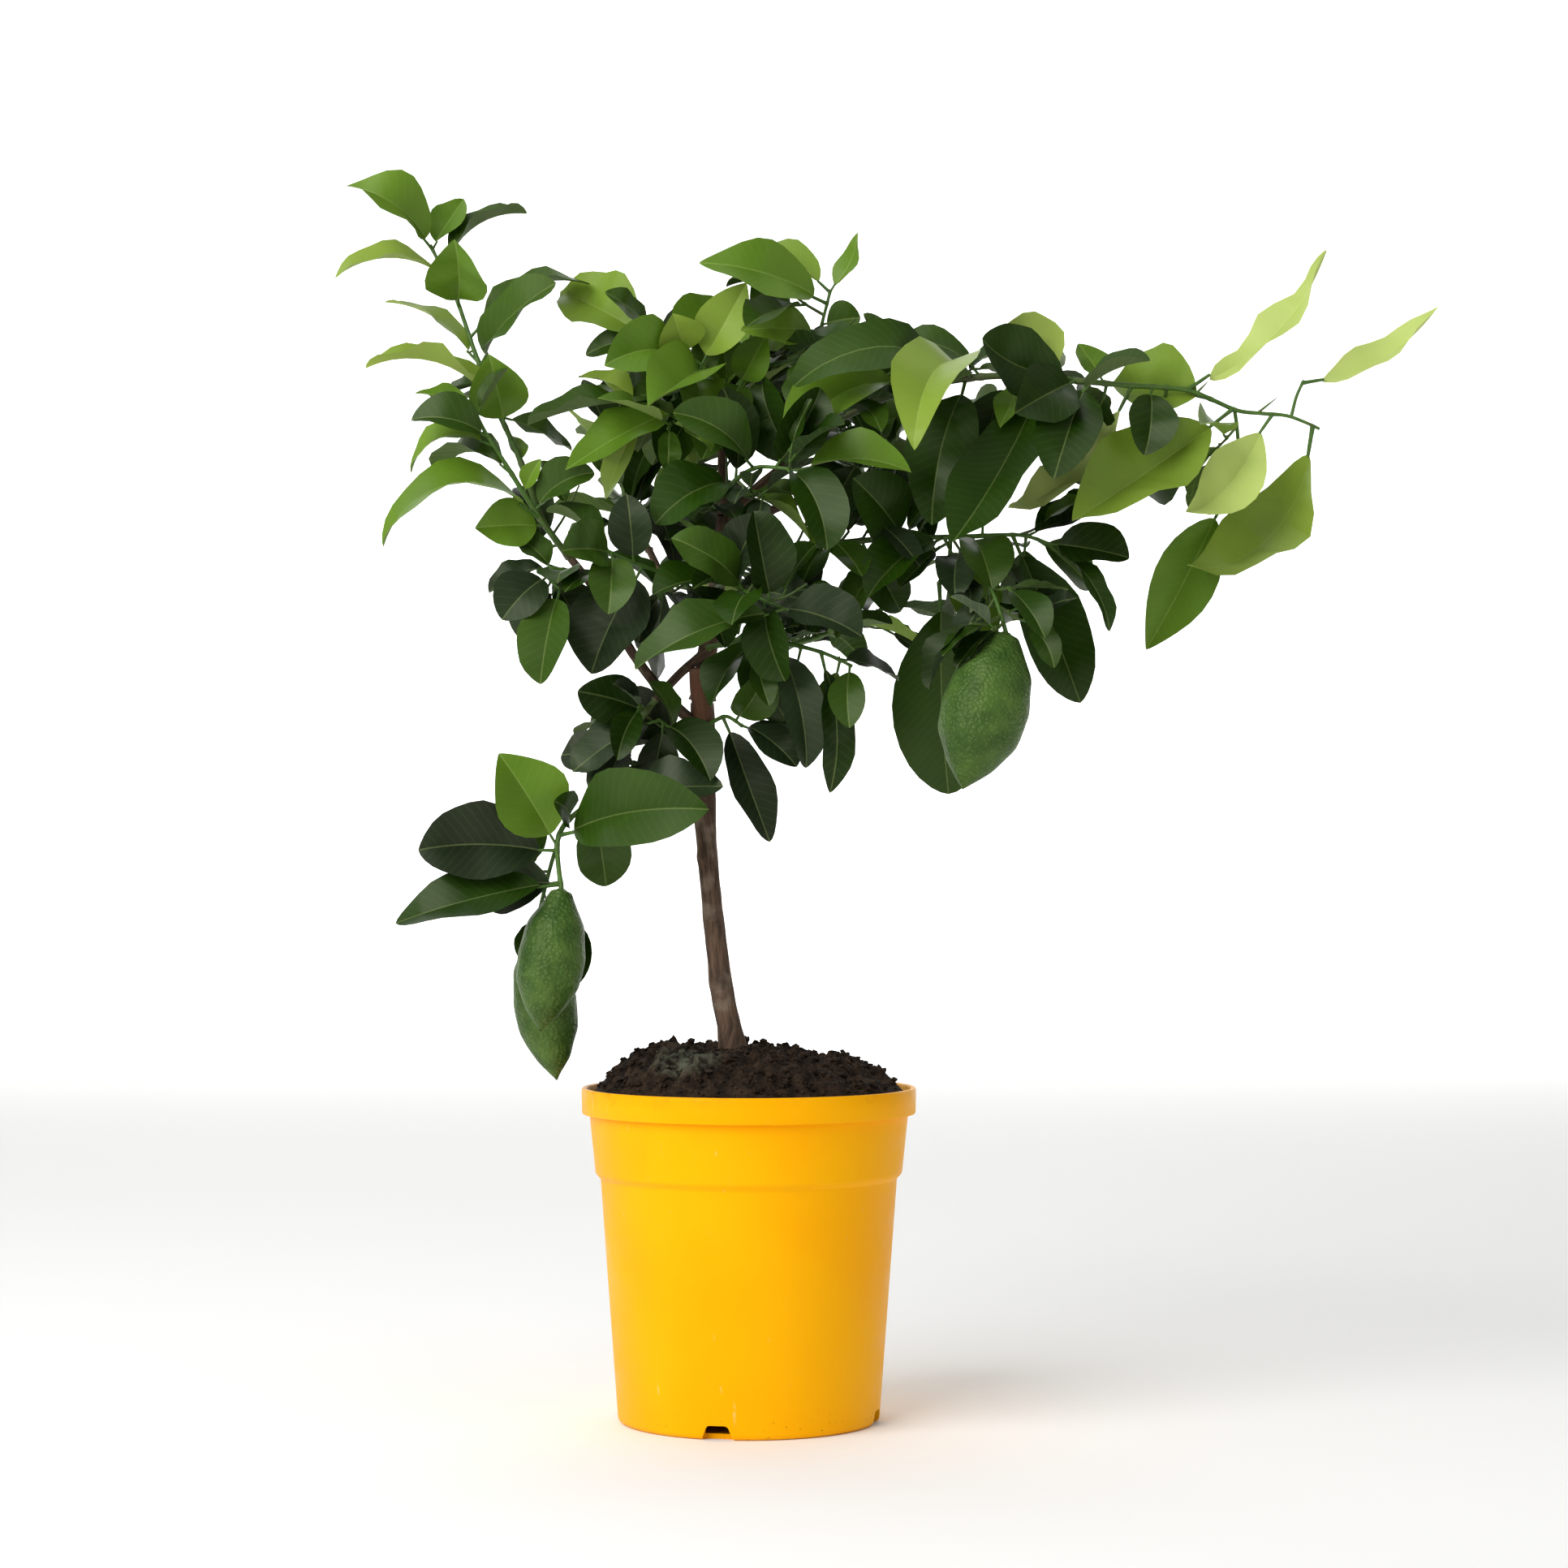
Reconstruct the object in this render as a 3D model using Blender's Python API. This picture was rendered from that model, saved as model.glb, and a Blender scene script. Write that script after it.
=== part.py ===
"""Potted lemon tree, about 0.75 m tall, in a moulded pot of 200 mm.

Metres, +Z up. The origin is the centre of the flat underside of the pot.
The tree's front is seen along +Y, with +X to the right.
Sizes below are in millimetres and are turned to metres as each mesh is made.
"""
import itertools
import math
import random

import bmesh
import bpy
from mathutils import Matrix, Vector
from mathutils.bvhtree import BVHTree
from mathutils.geometry import intersect_point_line

MM = 0.001
GAP = 0.3                 # clearance between two pieces that touch
SEED = 7

# The pot: a turned shell with a rim band, a wider upper band and notches in its foot
POT_HEIGHT = 198.0
POT_RIM_RADIUS = 100.0
POT_RIM_DEPTH = 15.5
POT_RIM_STEP = 4.8        # how far the rim stands out over the band below it
POT_BAND_BOTTOM = 146.0
POT_BAND_RADIUS = 91.8
POT_BODY_RADIUS = 88.6
POT_FOOT_RADIUS = 78.2
POT_FOOT_ROUND = 3.6
POT_WALL = 2.0
POT_FLOOR = 3.0
POT_FLOOR_ROUND = 3.0
POT_BAND_STEP = 2.5       # half the height over which the body widens to the upper band
POT_EDGE_ROUND = 0.8
POT_LIP_ROUND = 1.4
POT_SEGMENTS = 40
NOTCH_COUNT = 4
NOTCH_WIDTH = 19.0        # across its foot
NOTCH_TOP_WIDTH = 12.5
NOTCH_HEIGHT = 8.5
NOTCH_DEPTH = 7.0
NOTCH_OVERCUT = 3.0       # how far the cutting block stands out of the pot, below and outside
NOTCH_ANGLE = 257.0       # of the notch that shows at the front, left of the middle

# The soil: heaped in the middle, just under the rim at its edge
SOIL_EDGE_HEIGHT = 195.0
SOIL_TOP_HEIGHT = 221.0
SOIL_SEAT_HEIGHT = 217.0  # flat patch round the foot of the trunk
SOIL_SEAT_RADIUS = 11.0
SOIL_SEGMENTS = 30
SOIL_RINGS = 5
SOIL_LUMP = 3.2
SOIL_HEAP = 4             # the higher, the flatter the heap's middle and the steeper its edge
SOIL_TILT = 0.065         # how much higher the heap is on the left, per length across
SOIL_WAVE = (0.11, 0.13)  # broad lumps, in radians for each millimetre along X and along Y
SOIL_WAVE_START = (1.3, 0.4)
SOIL_FINE_WAVE = (0.23, -0.19)
SOIL_SWELL_REACH = 1.1    # how soon the lumps fade to nothing towards the edge

# How far away, and where, the eye is for the front view that the sizes are read from
VIEW_DISTANCE = 2037.0
EYE_X = 21.0
EYE_Z = 330.0

LEAF_THICKNESS = 1.3
LEAF_FOLD = 16.0          # degrees that each half of a leaf is raised from the midrib
PETIOLE_SHARE = 0.13      # of a leaf's length
PETIOLE_RADIUS = 0.9
FACET_ALLOWANCE = 1.16    # makes up for the area that a few-sided outline loses
LONG_LEAF = 60.0          # leaves longer than this get one more section
LONG_SECTIONS = {0.22: 0.86, 0.5: 1.0, 0.8: 0.56}  # share along the blade: share of its width
SHORT_SECTIONS = {0.27: 0.94, 0.7: 0.82}
LAST_ROOT = 0.985         # no leaf starts nearer to a shoot's end than this share of its length

# Degrees that a leaf may lean to the front or back, then turn, to keep clear of its neighbours
LEANS = (0, 6, -6, 12, -12, 20, -20, 30, -30)
TURNS = (0, 7, -7, 14, -14, 22, -22, 30, -30)
TWIG_SIDES = 3
LIMB_SIDES = 9
PATH_STEPS = 2            # points on a limb or shoot for each place of its plan
FRUIT_SIDES = 10
STALK_SINK = 2.0          # how far a fruit's end reaches back over its stalk

# A branch is cut back in steps until its start is clear of what bears it
START_STEP = 0.25
START_TRIES = 120
START_LENGTH = 2.0

# Leaves that follow the spiral rule
SPIRAL_ANGLE = 137.5      # degrees from one leaf to the next
SPIRAL_FIRST = 0.25       # share of the shoot below its first leaf
SPIRAL_SPREAD = 70.0      # degrees between shoot and leaf at the shoot's foot
SPIRAL_CLOSING = 35.0     # by how much that is less at its tip
SPIRAL_WAVER = 8.0
SPIRAL_DROOP = 0.15
SPIRAL_TILT = 0.3         # how far a leaf's upper side turns from the sky to its own side
SPIRAL_LENGTHS = (48, 68)
SPIRAL_WIDTHS = (0.42, 0.5)
SPIRAL_CURLS = (15, 32)

MERGE_DISTANCE = 0.00002  # metres
SLIVER = 0.00001

# Edges that turn more than this, in degrees, are shaded as sharp
POT_CREASE = 30
LIMB_CREASE = 50


def spot(x, y, z):
    """A place in the tree, with x and z as they show from the front and y its depth."""
    spread = (VIEW_DISTANCE + y) / VIEW_DISTANCE
    return Vector((EYE_X + (x - EYE_X) * spread, y, EYE_Z + (z - EYE_Z) * spread))


# Woody limbs: places along the middle, then the radius at each end
LIMBS = {
    "leader": ([(-28, 4, 430), (-26, 6, 452), (-22, 7, 480), (-18, 6, 512), (-15, 5, 540)], 6.4, 4.4),
    "bough_left": ([(-28, 2, 412), (-48, -4, 430), (-70, -8, 458), (-89, -12, 491), (-108, -15, 516)],
                   3.7, 2.3),
    "bough_left_low": ([(-25, 4, 459), (-40, -8, 447), (-56, -18, 430)], 3.1, 2.3),
    "bough_right_long": ([(-15, 5, 541), (18, -2, 568), (50, -8, 596)], 3.5, 2.7),
    "bough_right_low": ([(-17, 6, 512), (0, 3, 517), (18, 0, 519)], 3.1, 2.5),
    "bough_centre": ([(-15, 5, 541), (-16, 7, 572), (-15, 4, 604)], 3.1, 2.8),
    "bough_back_left": ([(-23, 8, 474), (-45, 42, 492), (-60, 84, 520)], 3.1, 2.2),
    "bough_back_right": ([(-17, 8, 528), (16, 48, 545), (52, 88, 556)], 3.1, 2.2),
    "bough_back_low": ([(-27, 8, 444), (-10, 42, 452), (20, 80, 462)], 2.9, 2.1),
}

TRUNK_PATH = [(-9, 0, SOIL_SEAT_HEIGHT + GAP), (-12, 0, 235), (-17, 1, 261), (-21.5, 2, 302),
              (-25, 3, 339), (-27, 4, 375), (-28, 4, 405), (-28, 4, 428)]
TRUNK_RADII = [9.2, 7.2, 6.9, 6.1, 6.1, 7.1, 8.0, 7.0]

# Masses of foliage. Each shoot is (places, radius at each end, leaves), the first one the stem.
# A leaf is (share along the shoot, turn, toward, length, width, curl, face): turn is its heading
# in the front view, anticlockwise from the right; toward is how far it comes to the front;
# curl arches it, its tip bent away from its upper side; face is 0 where the upper side looks to the
# front and 90 where it looks up. All angles are in degrees.
SPRAYS = {
    "left_tall_spray": [
        ([(-108, -15, 516), (-124, -14, 538), (-138, -12, 575), (-151, -8, 604), (-166, -4, 642),
          (-176, 0, 671), (-192, 4, 704)], 2.1, 1.0, [
            (0.99, 148, 15, 69, 32, 50, 35), (1.0, 62, -25, 42, 21, 10, 30),
            (0.92, 32, -15, 68, 24, 60, 60), (0.90, 188, 10, 72, 24, 62, 65),
            (0.80, 88, 48, 52, 35, 15, 0), (0.70, 21, -8, 86, 28, 60, 55),
            (0.61, 39, 10, 80, 33, 35, 45), (0.62, 149, -15, 76, 22, 35, 60),
            (0.46, 168, 10, 95, 25, 80, 65), (0.50, 174, -30, 34, 16, 20, 60),
            (0.42, 101, 35, 50, 33, 15, 10), (0.56, 195, -40, 45, 22, 20, 60),
            (0.30, 110, -20, 26, 12, 0, 30), (0.45, 334, -15, 48, 25, 30, 50)]),
    ],
    "left_short_spray": [
        ([(-111, -19, 519), (-127, -26, 541), (-144, -30, 568), (-158, -34, 590), (-166, -35, 606)],
         1.9, 0.9, [
            (0.80, 171, 10, 52, 28, 60, 28), (0.74, 203, 16, 64, 24, 100, 65),
            (0.55, 175, -8, 64, 26, 120, 60), (0.24, 199, 10, 120, 38, 108, 58),
            (0.19, 184, 25, 43, 30, 30, 15), (1.0, 165, 10, 38, 18, 15, 40),
            (0.95, 60, -15, 34, 16, 15, 50), (0.42, 60, 20, 24, 12, 0, 30),
            (0.30, 28, 10, 46, 24, 45, 30)]),
    ],
    "left_hanging_spray": [
        ([(-100, -16, 505), (-112, -30, 508), (-122, -38, 506), (-113, -46, 496)], 1.7, 0.9, [
            (0.80, 242, -12, 40, 26, 20, 25), (1.0, 261, 18, 64, 32, 25, 15),
            (0.90, 249, -20, 44, 24, 15, 35), (0.35, 265, 40, 34, 26, 10, 10),
            (0.50, 140, -10, 34, 22, 20, 45), (0.70, 228, 22, 43, 32, 30, 20),
            (0.60, 276, -14, 40, 26, 20, 20)]),
    ],
    "low_left_spray": [
        ([(-56, -18, 430), (-70, -22, 411), (-86, -26, 380), (-93, -28, 370), (-108, -30, 358),
          (-115, -32, 343), (-112, -36, 314)], 2.0, 1.4, [
            (0.55, 6, 16, 86, 36, 20, 25), (0.74, 8, 32, 112, 46, 15, 20),
            (0.79, 122, 10, 66, 44, 10, 10), (0.66, 150, 36, 34, 22, 20, 40),
            (0.81, 180, 6, 82, 46, 12, 10), (0.96, 195, 16, 102, 38, 20, 40),
            (0.95, 222, -20, 48, 34, 30, 20), (0.52, 277, -15, 54, 33, 25, 20),
            (0.16, 255, 20, 54, 32, 45, 40), (0.30, 178, -15, 36, 28, 20, 15),
            (0.06, 165, 22, 46, 30, 30, 10)]),
        ([(-115, -31, 345), (-122, -10, 318), (-129, 0, 289)], 1.3, 1.2, []),
    ],
    "trunk_shoot_left": [
        ([(-30, -2, 398), (-42, -14, 408), (-54, -22, 418)], 1.5, 0.9, [
            (1.0, 214, 14, 64, 32, 45, 40), (0.85, 307, 24, 60, 30, 55, 25),
            (0.90, 262, -15, 46, 26, 45, -10), (0.60, 120, 22, 38, 22, 40, 50),
            (0.35, 142, -30, 54, 32, 30, 10)]),
    ],
    "trunk_shoot_right": [
        ([(-26, -2, 414), (-14, -18, 420), (-4, -30, 414)], 1.4, 0.9, [
            (0.45, 290, 10, 82, 27, 22, 20), (0.95, 320, 15, 46, 26, 45, 45),
            (0.80, 60, 25, 44, 26, 40, -10)]),
    ],
    "low_centre_spray": [
        ([(-24, 0, 462), (-5, -22, 464), (20, -36, 464), (45, -42, 458), (62, -44, 450)], 1.8, 0.9, [
            (0.80, 272, 5, 86, 22, 35, 35), (0.55, 281, 10, 80, 27, 50, 10),
            (0.68, 267, -18, 60, 26, 30, 45), (0.28, 302, 10, 58, 28, 45, -10),
            (1.0, 270, 10, 42, 22, 30, 20), (0.92, 264, -14, 56, 21, 40, 20),
            (0.90, 340, -30, 45, 24, 25, 60), (0.42, 238, 30, 62, 30, 45, 40),
            (0.62, 60, -10, 44, 24, 35, 50)]),
    ],
    "front_spray": [
        ([(-20, 5, 497), (-12, -28, 500), (0, -50, 494), (22, -66, 484)], 1.8, 0.9, [
            (1.0, 204, 8, 96, 34, 20, 32), (0.95, 338, 12, 54, 32, 20, 20),
            (0.22, 195, 35, 56, 30, 45, 40), (0.40, 345, 25, 60, 30, 36, 12),
            (0.85, 101, 15, 58, 32, 45, 20), (0.50, 62, 24, 52, 28, 35, 35),
            (0.60, 148, 22, 60, 30, 60, 28), (0.70, 252, 30, 54, 28, 50, 35),
            (0.80, 300, 25, 54, 28, 45, -15)]),
    ],
    "upper_front_spray": [
        ([(-16, 5, 552), (-8, -24, 562), (6, -42, 570), (30, -56, 568)], 1.8, 0.9, [
            (0.15, 322, 10, 68, 18, 40, 55), (1.0, 355, 8, 70, 30, 35, 50),
            (0.80, 60, 15, 58, 28, 40, -10), (0.60, 150, 20, 64, 30, 45, 35),
            (0.28, 213, 20, 64, 36, 60, 25), (0.90, 292, 20, 66, 32, 50, 30),
            (0.35, 100, 15, 58, 28, 40, 40)]),
    ],
    "inner_left_spray": [
        ([(-22, 2, 488), (-45, -20, 503), (-68, -34, 512), (-86, -44, 520)], 1.7, 0.9, [
            (0.68, 246, 12, 74, 50, 15, 10), (0.95, 183, 40, 38, 30, 15, 5),
            (1.0, 150, 10, 46, 26, 45, 60), (0.75, 95, 20, 44, 26, 40, -10),
            (0.40, 110, -10, 50, 26, 40, 50), (0.30, 300, 20, 54, 28, 50, 35),
            (0.95, 268, 22, 46, 28, 45, -15), (0.45, 265, -20, 68, 34, 40, 40)]),
    ],
    "centre_left_spray": [
        ([(-17, 3, 604), (-21, 0, 620), (-32, -6, 634), (-61, -10, 647)], 1.5, 0.9, [
            (0.60, 192, 20, 58, 34, 40, 25), (0.45, 60, 10, 57, 30, 10, 15),
            (0.62, 122, 30, 30, 28, 15, 10), (0.70, 60, -25, 50, 27, 20, 20),
            (0.40, 224, 35, 72, 38, 35, 15), (1.0, 149, -16, 74, 40, 30, 25),
            (0.95, 192, 0, 42, 18, 20, 35)]),
        ([(-18, 2, 615), (-44, -14, 604), (-66, -22, 610)], 1.3, 0.9, [
            (0.45, 212, 20, 88, 30, 25, 35), (1.0, 195, 8, 70, 26, 30, 60),
            (0.90, 225, -30, 48, 26, 20, 45), (1.0, 160, -10, 42, 22, 20, 45),
            (0.25, 243, 25, 48, 28, 15, 15), (0.90, 243, -28, 76, 19, 20, 30)]),
    ],
    "centre_right_spray": [
        ([(-13, 6, 604), (-6, 9, 620), (6, 9, 630), (25, 4, 634), (40, 0, 642), (44, -2, 657),
          (49, -4, 677)], 1.5, 0.9, [
            (0.92, 167, 16, 87, 36, 30, 25), (0.99, 154, -14, 72, 28, 55, 42),
            (1.0, 66, 5, 40, 17, -20, 45), (0.80, 8, 10, 24, 22, 10, 15),
            (0.76, 184, 25, 54, 27, 20, 25), (0.20, 29, -20, 44, 24, 35, 50),
            (0.16, 60, 20, 38, 22, 30, -10), (0.32, 10, 25, 36, 24, 35, 40),
            (0.22, 246, 33, 74, 34, 20, 15), (0.34, 262, 34, 72, 32, 50, 40),
            (0.50, 350, 30, 66, 30, 40, 55), (0.60, 335, -20, 58, 28, 40, 10),
            (0.55, 18, -32, 42, 26, 20, 30), (0.74, 204, -22, 46, 30, 30, 15)]),
    ],
    "right_long_spray": [
        ([(50, -8, 597), (85, -10, 613), (127, -16, 623), (163, -20, 625), (197, -22, 622),
          (231, -22, 619), (265, -20, 616), (294, -18, 604), (323, -16, 601), (343, -14, 593)],
         2.5, 0.9, [
            (0.23, 191, 20, 122, 36, 90, 40), (0.17, 218, 22, 112, 38, 92, 36),
            (0.29, 240, 14, 120, 42, 105, 26), (0.31, 164, 10, 62, 24, 85, 45),
            (0.505, 161, 14, 76, 44, -42, 15), (0.50, 213, 42, 66, 38, 20, 15),
            (0.555, 121, -20, 31, 22, 10, 30), (0.28, 257, 14, 99, 43, 15, 10),
            (0.37, 261, -15, 72, 34, 30, 35), (0.44, 240, 30, 138, 44, -10, 30),
            (0.61, 222, 20, 121, 30, -68, 40), (0.56, 262, -28, 74, 38, 20, 10),
            (0.82, 215, 16, 134, 50, -30, 12), (0.77, 168, -15, 62, 42, 15, 15),
            (0.90, 226, 26, 98, 34, -55, 20), (1.0, 222, 10, 142, 50, -114, 45),
            (0.72, 48, 8, 124, 24, -38, 45), (0.46, 150, -18, 62, 28, 110, 112),
            (0.40, 290, -40, 82, 36, 40, 50), (0.68, 262, -38, 86, 38, 45, 0),
            (0.20, 280, -45, 78, 34, 40, 45), (0.65, 262, -12, 46, 30, 15, 0),
            (0.52, 250, 4, 84, 38, 15, 5)]),
        ([(292, -18, 605), (294, 0, 577), (286, 16, 550)], 1.2, 0.9, [
            (1.0, 243, -4, 104, 36, 10, 10)]),
        ([(326, -16, 600), (329, -18, 612), (333, -20, 621)], 1.1, 0.9, [
            (1.0, 33, 5, 101, 27, -60, 45)]),
    ],
    "right_low_spray": [
        ([(18, 0, 520), (52, -4, 524), (85, -8, 527), (129, -14, 528), (163, -12, 529),
          (182, -10, 523)], 2.3, 0.9, [
            (0.42, 242, 22, 78, 24, 20, 45), (1.0, 348, 10, 50, 34, 15, 22),
            (0.85, 292, -5, 109, 40, 8, 10), (0.70, 285, 30, 52, 33, 30, 20),
            (0.60, 222, 10, 74, 30, 30, 30), (0.50, 205, -12, 56, 30, 40, -10),
            (1.0, 301, 12, 68, 16, 35, 50), (0.60, 287, -25, 80, 36, 30, 35),
            (0.90, 262, -30, 64, 34, 40, -10), (0.90, 20, -30, 56, 26, 20, 40),
            (0.74, 70, 12, 48, 26, 45, 50), (0.12, 62, 15, 58, 30, 45, -15),
            (0.22, 35, 20, 66, 30, 40, 50), (0.45, 128, 12, 62, 40, 30, 10),
            (0.45, 50, 20, 64, 30, 50, 45), (0.16, 262, 20, 60, 30, 50, 40),
            (0.30, 300, -10, 52, 26, 45, -10), (0.94, 322, -22, 52, 28, 20, 30)]),
        ([(121, -13, 528), (120, -11, 514), (114, -9, 500)], 1.3, 1.0, [
            (1.0, 273, -2, 130, 63, 8, 5)]),
        ([(131, -14, 528), (141, -34, 508), (149, -48, 488), (155, -54, 468)], 1.4, 1.3, []),
    ],
}

# Shoots on the far side, whose leaves follow the spiral rule: places, radius at each end, leaf count
BACK_SPRAYS = {
    "back_left_spray": [
        ([(-60, 84, 520), (-74, 112, 548), (-78, 132, 584)], 1.9, 0.9, 9),
        ([(-70, 105, 540), (-48, 130, 556), (-30, 148, 580)], 1.2, 0.8, 6),
    ],
    "back_right_spray": [
        ([(52, 89, 556), (86, 108, 572), (120, 122, 580)], 1.9, 0.9, 9),
        ([(74, 102, 567), (66, 132, 582), (58, 150, 604)], 1.2, 0.8, 6),
    ],
    "back_low_spray": [
        ([(20, 81, 462), (48, 104, 470), (84, 120, 486)], 1.8, 0.9, 8),
        ([(34, 93, 466), (16, 120, 474), (-4, 140, 486)], 1.2, 0.8, 6),
    ],
    "back_top_spray": [
        ([(-16, 7, 585), (-6, 40, 606), (10, 72, 630)], 1.7, 0.9, 8),
        ([(-12, 25, 597), (-34, 52, 612), (-50, 74, 630)], 1.2, 0.8, 6),
    ],
    "back_middle_spray": [
        ([(-21, 12, 500), (-20, 50, 510), (-16, 90, 524)], 1.7, 0.9, 8),
    ],
}

# Fruits: the shoot that each hangs from, its lower tip, its greatest radius
FRUITS = [
    ("low_left_spray", 0, (-125, -44, 231), 20.2),
    ("low_left_spray", 1, (-115, 0, 202), 19.2),
    ("right_low_spray", 2, (128, -60, 376), 26.2),
]
# Half-width of a fruit along its length, as shares of its greatest radius
FRUIT_PROFILE = [(0.01, 0.30), (0.08, 0.45), (0.24, 0.84), (0.46, 1.0), (0.67, 0.92), (0.85, 0.54),
                 (0.94, 0.22)]


def smooth_path(places, steps):
    """Points on one curve through the places, with so many steps between two of them."""
    points = [Vector(p) for p in places]
    ends = [points[0] * 2 - points[1]] + points + [points[-1] * 2 - points[-2]]
    curve = []
    for i in range(1, len(ends) - 2):
        before, start, end, after = ends[i - 1:i + 3]
        for step in range(steps):
            t = step / steps
            curve.append(0.5 * (2 * start + (end - before) * t
                                + (2 * before - 5 * start + 4 * end - after) * t ** 2
                                + (3 * (start - end) + after - before) * t ** 3))
    return curve + [points[-1]]


def along_path(path, share):
    """The point at a share of a path's length, and the path's direction there."""
    lengths = [(b - a).length for a, b in zip(path, path[1:])]
    left = share * sum(lengths)
    for a, b, length in zip(path, path[1:], lengths):
        if left <= length:
            return a.lerp(b, left / length), (b - a).normalized()
        left -= length
    return path[-1].copy(), (path[-1] - path[-2]).normalized()


def nearest_on_path(path, place):
    """The point of a path's middle line that lies nearest to a place."""
    best = path[0]
    for a, b in zip(path, path[1:]):
        point, share = intersect_point_line(place, a, b)
        point = a.lerp(b, min(max(share, 0.0), 1.0))
        if (point - place).length < (best - place).length:
            best = point
    return best


def cut_start(path, distance):
    """The path without its first stretch of that length."""
    total = sum((b - a).length for a, b in zip(path, path[1:]))
    start, _ = along_path(path, distance / total)
    walked = 0.0
    for i, (a, b) in enumerate(zip(path, path[1:])):
        walked += (b - a).length
        if walked > distance + 1.0:
            return [start] + path[i + 1:]
    return path[-2:]


def tube_shape(path, radii, sides):
    """Corners and faces of a closed tube along a path."""
    corners, faces = [], []
    side = (path[1] - path[0]).orthogonal().normalized()
    last = len(path) - 1
    for i, (point, radius) in enumerate(zip(path, radii)):
        ahead = (path[min(i + 1, last)] - path[max(i - 1, 0)]).normalized()
        side = (side - ahead * side.dot(ahead)).normalized()
        other = ahead.cross(side)
        for k in range(sides):
            angle = 2 * math.pi * k / sides
            corners.append(point + (side * math.cos(angle) + other * math.sin(angle)) * radius)
    for i in range(last):
        for k in range(sides):
            a, b = i * sides + k, i * sides + (k + 1) % sides
            faces.append((a, b, b + sides, a + sides))
    faces.append(tuple(reversed(range(sides))))
    faces.append(tuple(range(last * sides, (last + 1) * sides)))
    return corners, faces


def leaf_headings(turn, toward, face):
    """Unit vectors along a leaf and out of its upper side, from the plan's three angles."""
    turn, toward, face = (math.radians(a) for a in (turn, toward, face))
    ahead = Vector((math.cos(turn) * math.cos(toward), -math.sin(toward),
                    math.sin(turn) * math.cos(toward)))
    front = Vector((0, -1, 0))
    front = (front - ahead * front.dot(ahead)).normalized()
    upper = ahead.cross(front)
    if upper.z < 0:
        upper.negate()
    return ahead, (front * math.cos(face) + upper * math.sin(face)).normalized()


def leaf_shape(root, ahead, normal, length, width, curl, swell=0.0):
    """Corners and faces of one closed leaf: a petiole, folded blade sections and a tip."""
    petiole = length * PETIOLE_SHARE
    width *= FACET_ALLOWANCE
    sections = LONG_SECTIONS if length > LONG_LEAF else SHORT_SECTIONS
    across = ahead.cross(normal)
    raised = Matrix.Rotation(math.radians(curl / 2), 3, across)
    ahead, normal = raised @ ahead, raised @ normal
    thick = LEAF_THICKNESS / 2 + swell
    corners = [root.copy()]
    point = root + ahead * petiole
    neck = PETIOLE_RADIUS + swell
    for out, up in ((-1, 0), (0, 1), (1, 0), (0, -1)):
        corners.append(point + across * (out * neck) + normal * (up * neck))
    walked = 0.0
    heading, up_side = ahead, normal
    blade = length - petiole
    for share in (*sections, 1.0):
        turned = Matrix.Rotation(math.radians(-curl * (share + walked) / 2), 3, across)
        point = point + (turned @ ahead) * (blade * (share - walked))
        walked = share
        bent = Matrix.Rotation(math.radians(-curl * share), 3, across)
        heading, up_side = bent @ ahead, bent @ normal
        if share < 1.0:
            half = width / 2 * sections[share] + swell
            lift = up_side * half * math.tan(math.radians(LEAF_FOLD))
            corners.append(point - across * half + lift)
            corners.append(point + up_side * thick)
            corners.append(point + across * half + lift)
            corners.append(point - up_side * thick)
    corners.append(point + heading * swell)
    rings = (len(corners) - 2) // 4
    faces = []
    for k in range(4):
        following = (k + 1) % 4
        faces.append((0, 1 + following, 1 + k))
        for ring in range(rings - 1):
            a, b = 1 + ring * 4 + k, 1 + ring * 4 + following
            faces.append((a, b, b + 4))
            faces.append((a, b + 4, a + 4))
        a, b = 1 + (rings - 1) * 4 + k, 1 + (rings - 1) * 4 + following
        faces.append((a, b, len(corners) - 1))
    return corners, faces


def fruit_shape(top, tip, radius):
    """Corners and faces of one closed lemon, from its stalk end to its nipple."""
    axis = tip - top
    side = axis.orthogonal().normalized()
    other = axis.normalized().cross(side)
    corners = [top.copy()]
    for share, half in FRUIT_PROFILE:
        for k in range(FRUIT_SIDES):
            angle = 2 * math.pi * k / FRUIT_SIDES
            out = side * math.cos(angle) + other * math.sin(angle)
            corners.append(top + axis * share + out * (half * radius))
    corners.append(tip.copy())
    faces = []
    rings = len(FRUIT_PROFILE)
    for k in range(FRUIT_SIDES):
        following = (k + 1) % FRUIT_SIDES
        faces.append((0, 1 + following, 1 + k))
        for ring in range(rings - 1):
            a, b = 1 + ring * FRUIT_SIDES + k, 1 + ring * FRUIT_SIDES + following
            faces.append((a, b, b + FRUIT_SIDES, a + FRUIT_SIDES))
        a, b = 1 + (rings - 1) * FRUIT_SIDES + k, 1 + (rings - 1) * FRUIT_SIDES + following
        faces.append((a, b, len(corners) - 1))
    return corners, faces


class Thing:
    """A placed shape that later ones must stay clear of."""

    def __init__(self, owner, shape):
        corners, faces = shape
        self.owner = owner
        self.tree = BVHTree.FromPolygons(corners, faces)
        self.low = Vector([min(c[i] for c in corners) for i in range(3)])
        self.high = Vector([max(c[i] for c in corners) for i in range(3)])

    def touches(self, other):
        for i in range(3):
            if self.low[i] > other.high[i] or other.low[i] > self.high[i]:
                return False
        return bool(self.tree.overlap(other.tree))


def blade_only(shape):
    """A leaf's shape without its root and petiole, to test it against its own twig."""
    corners, faces = shape
    return corners[1:], [tuple(c - 1 for c in f) for f in faces if 0 not in f]


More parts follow.
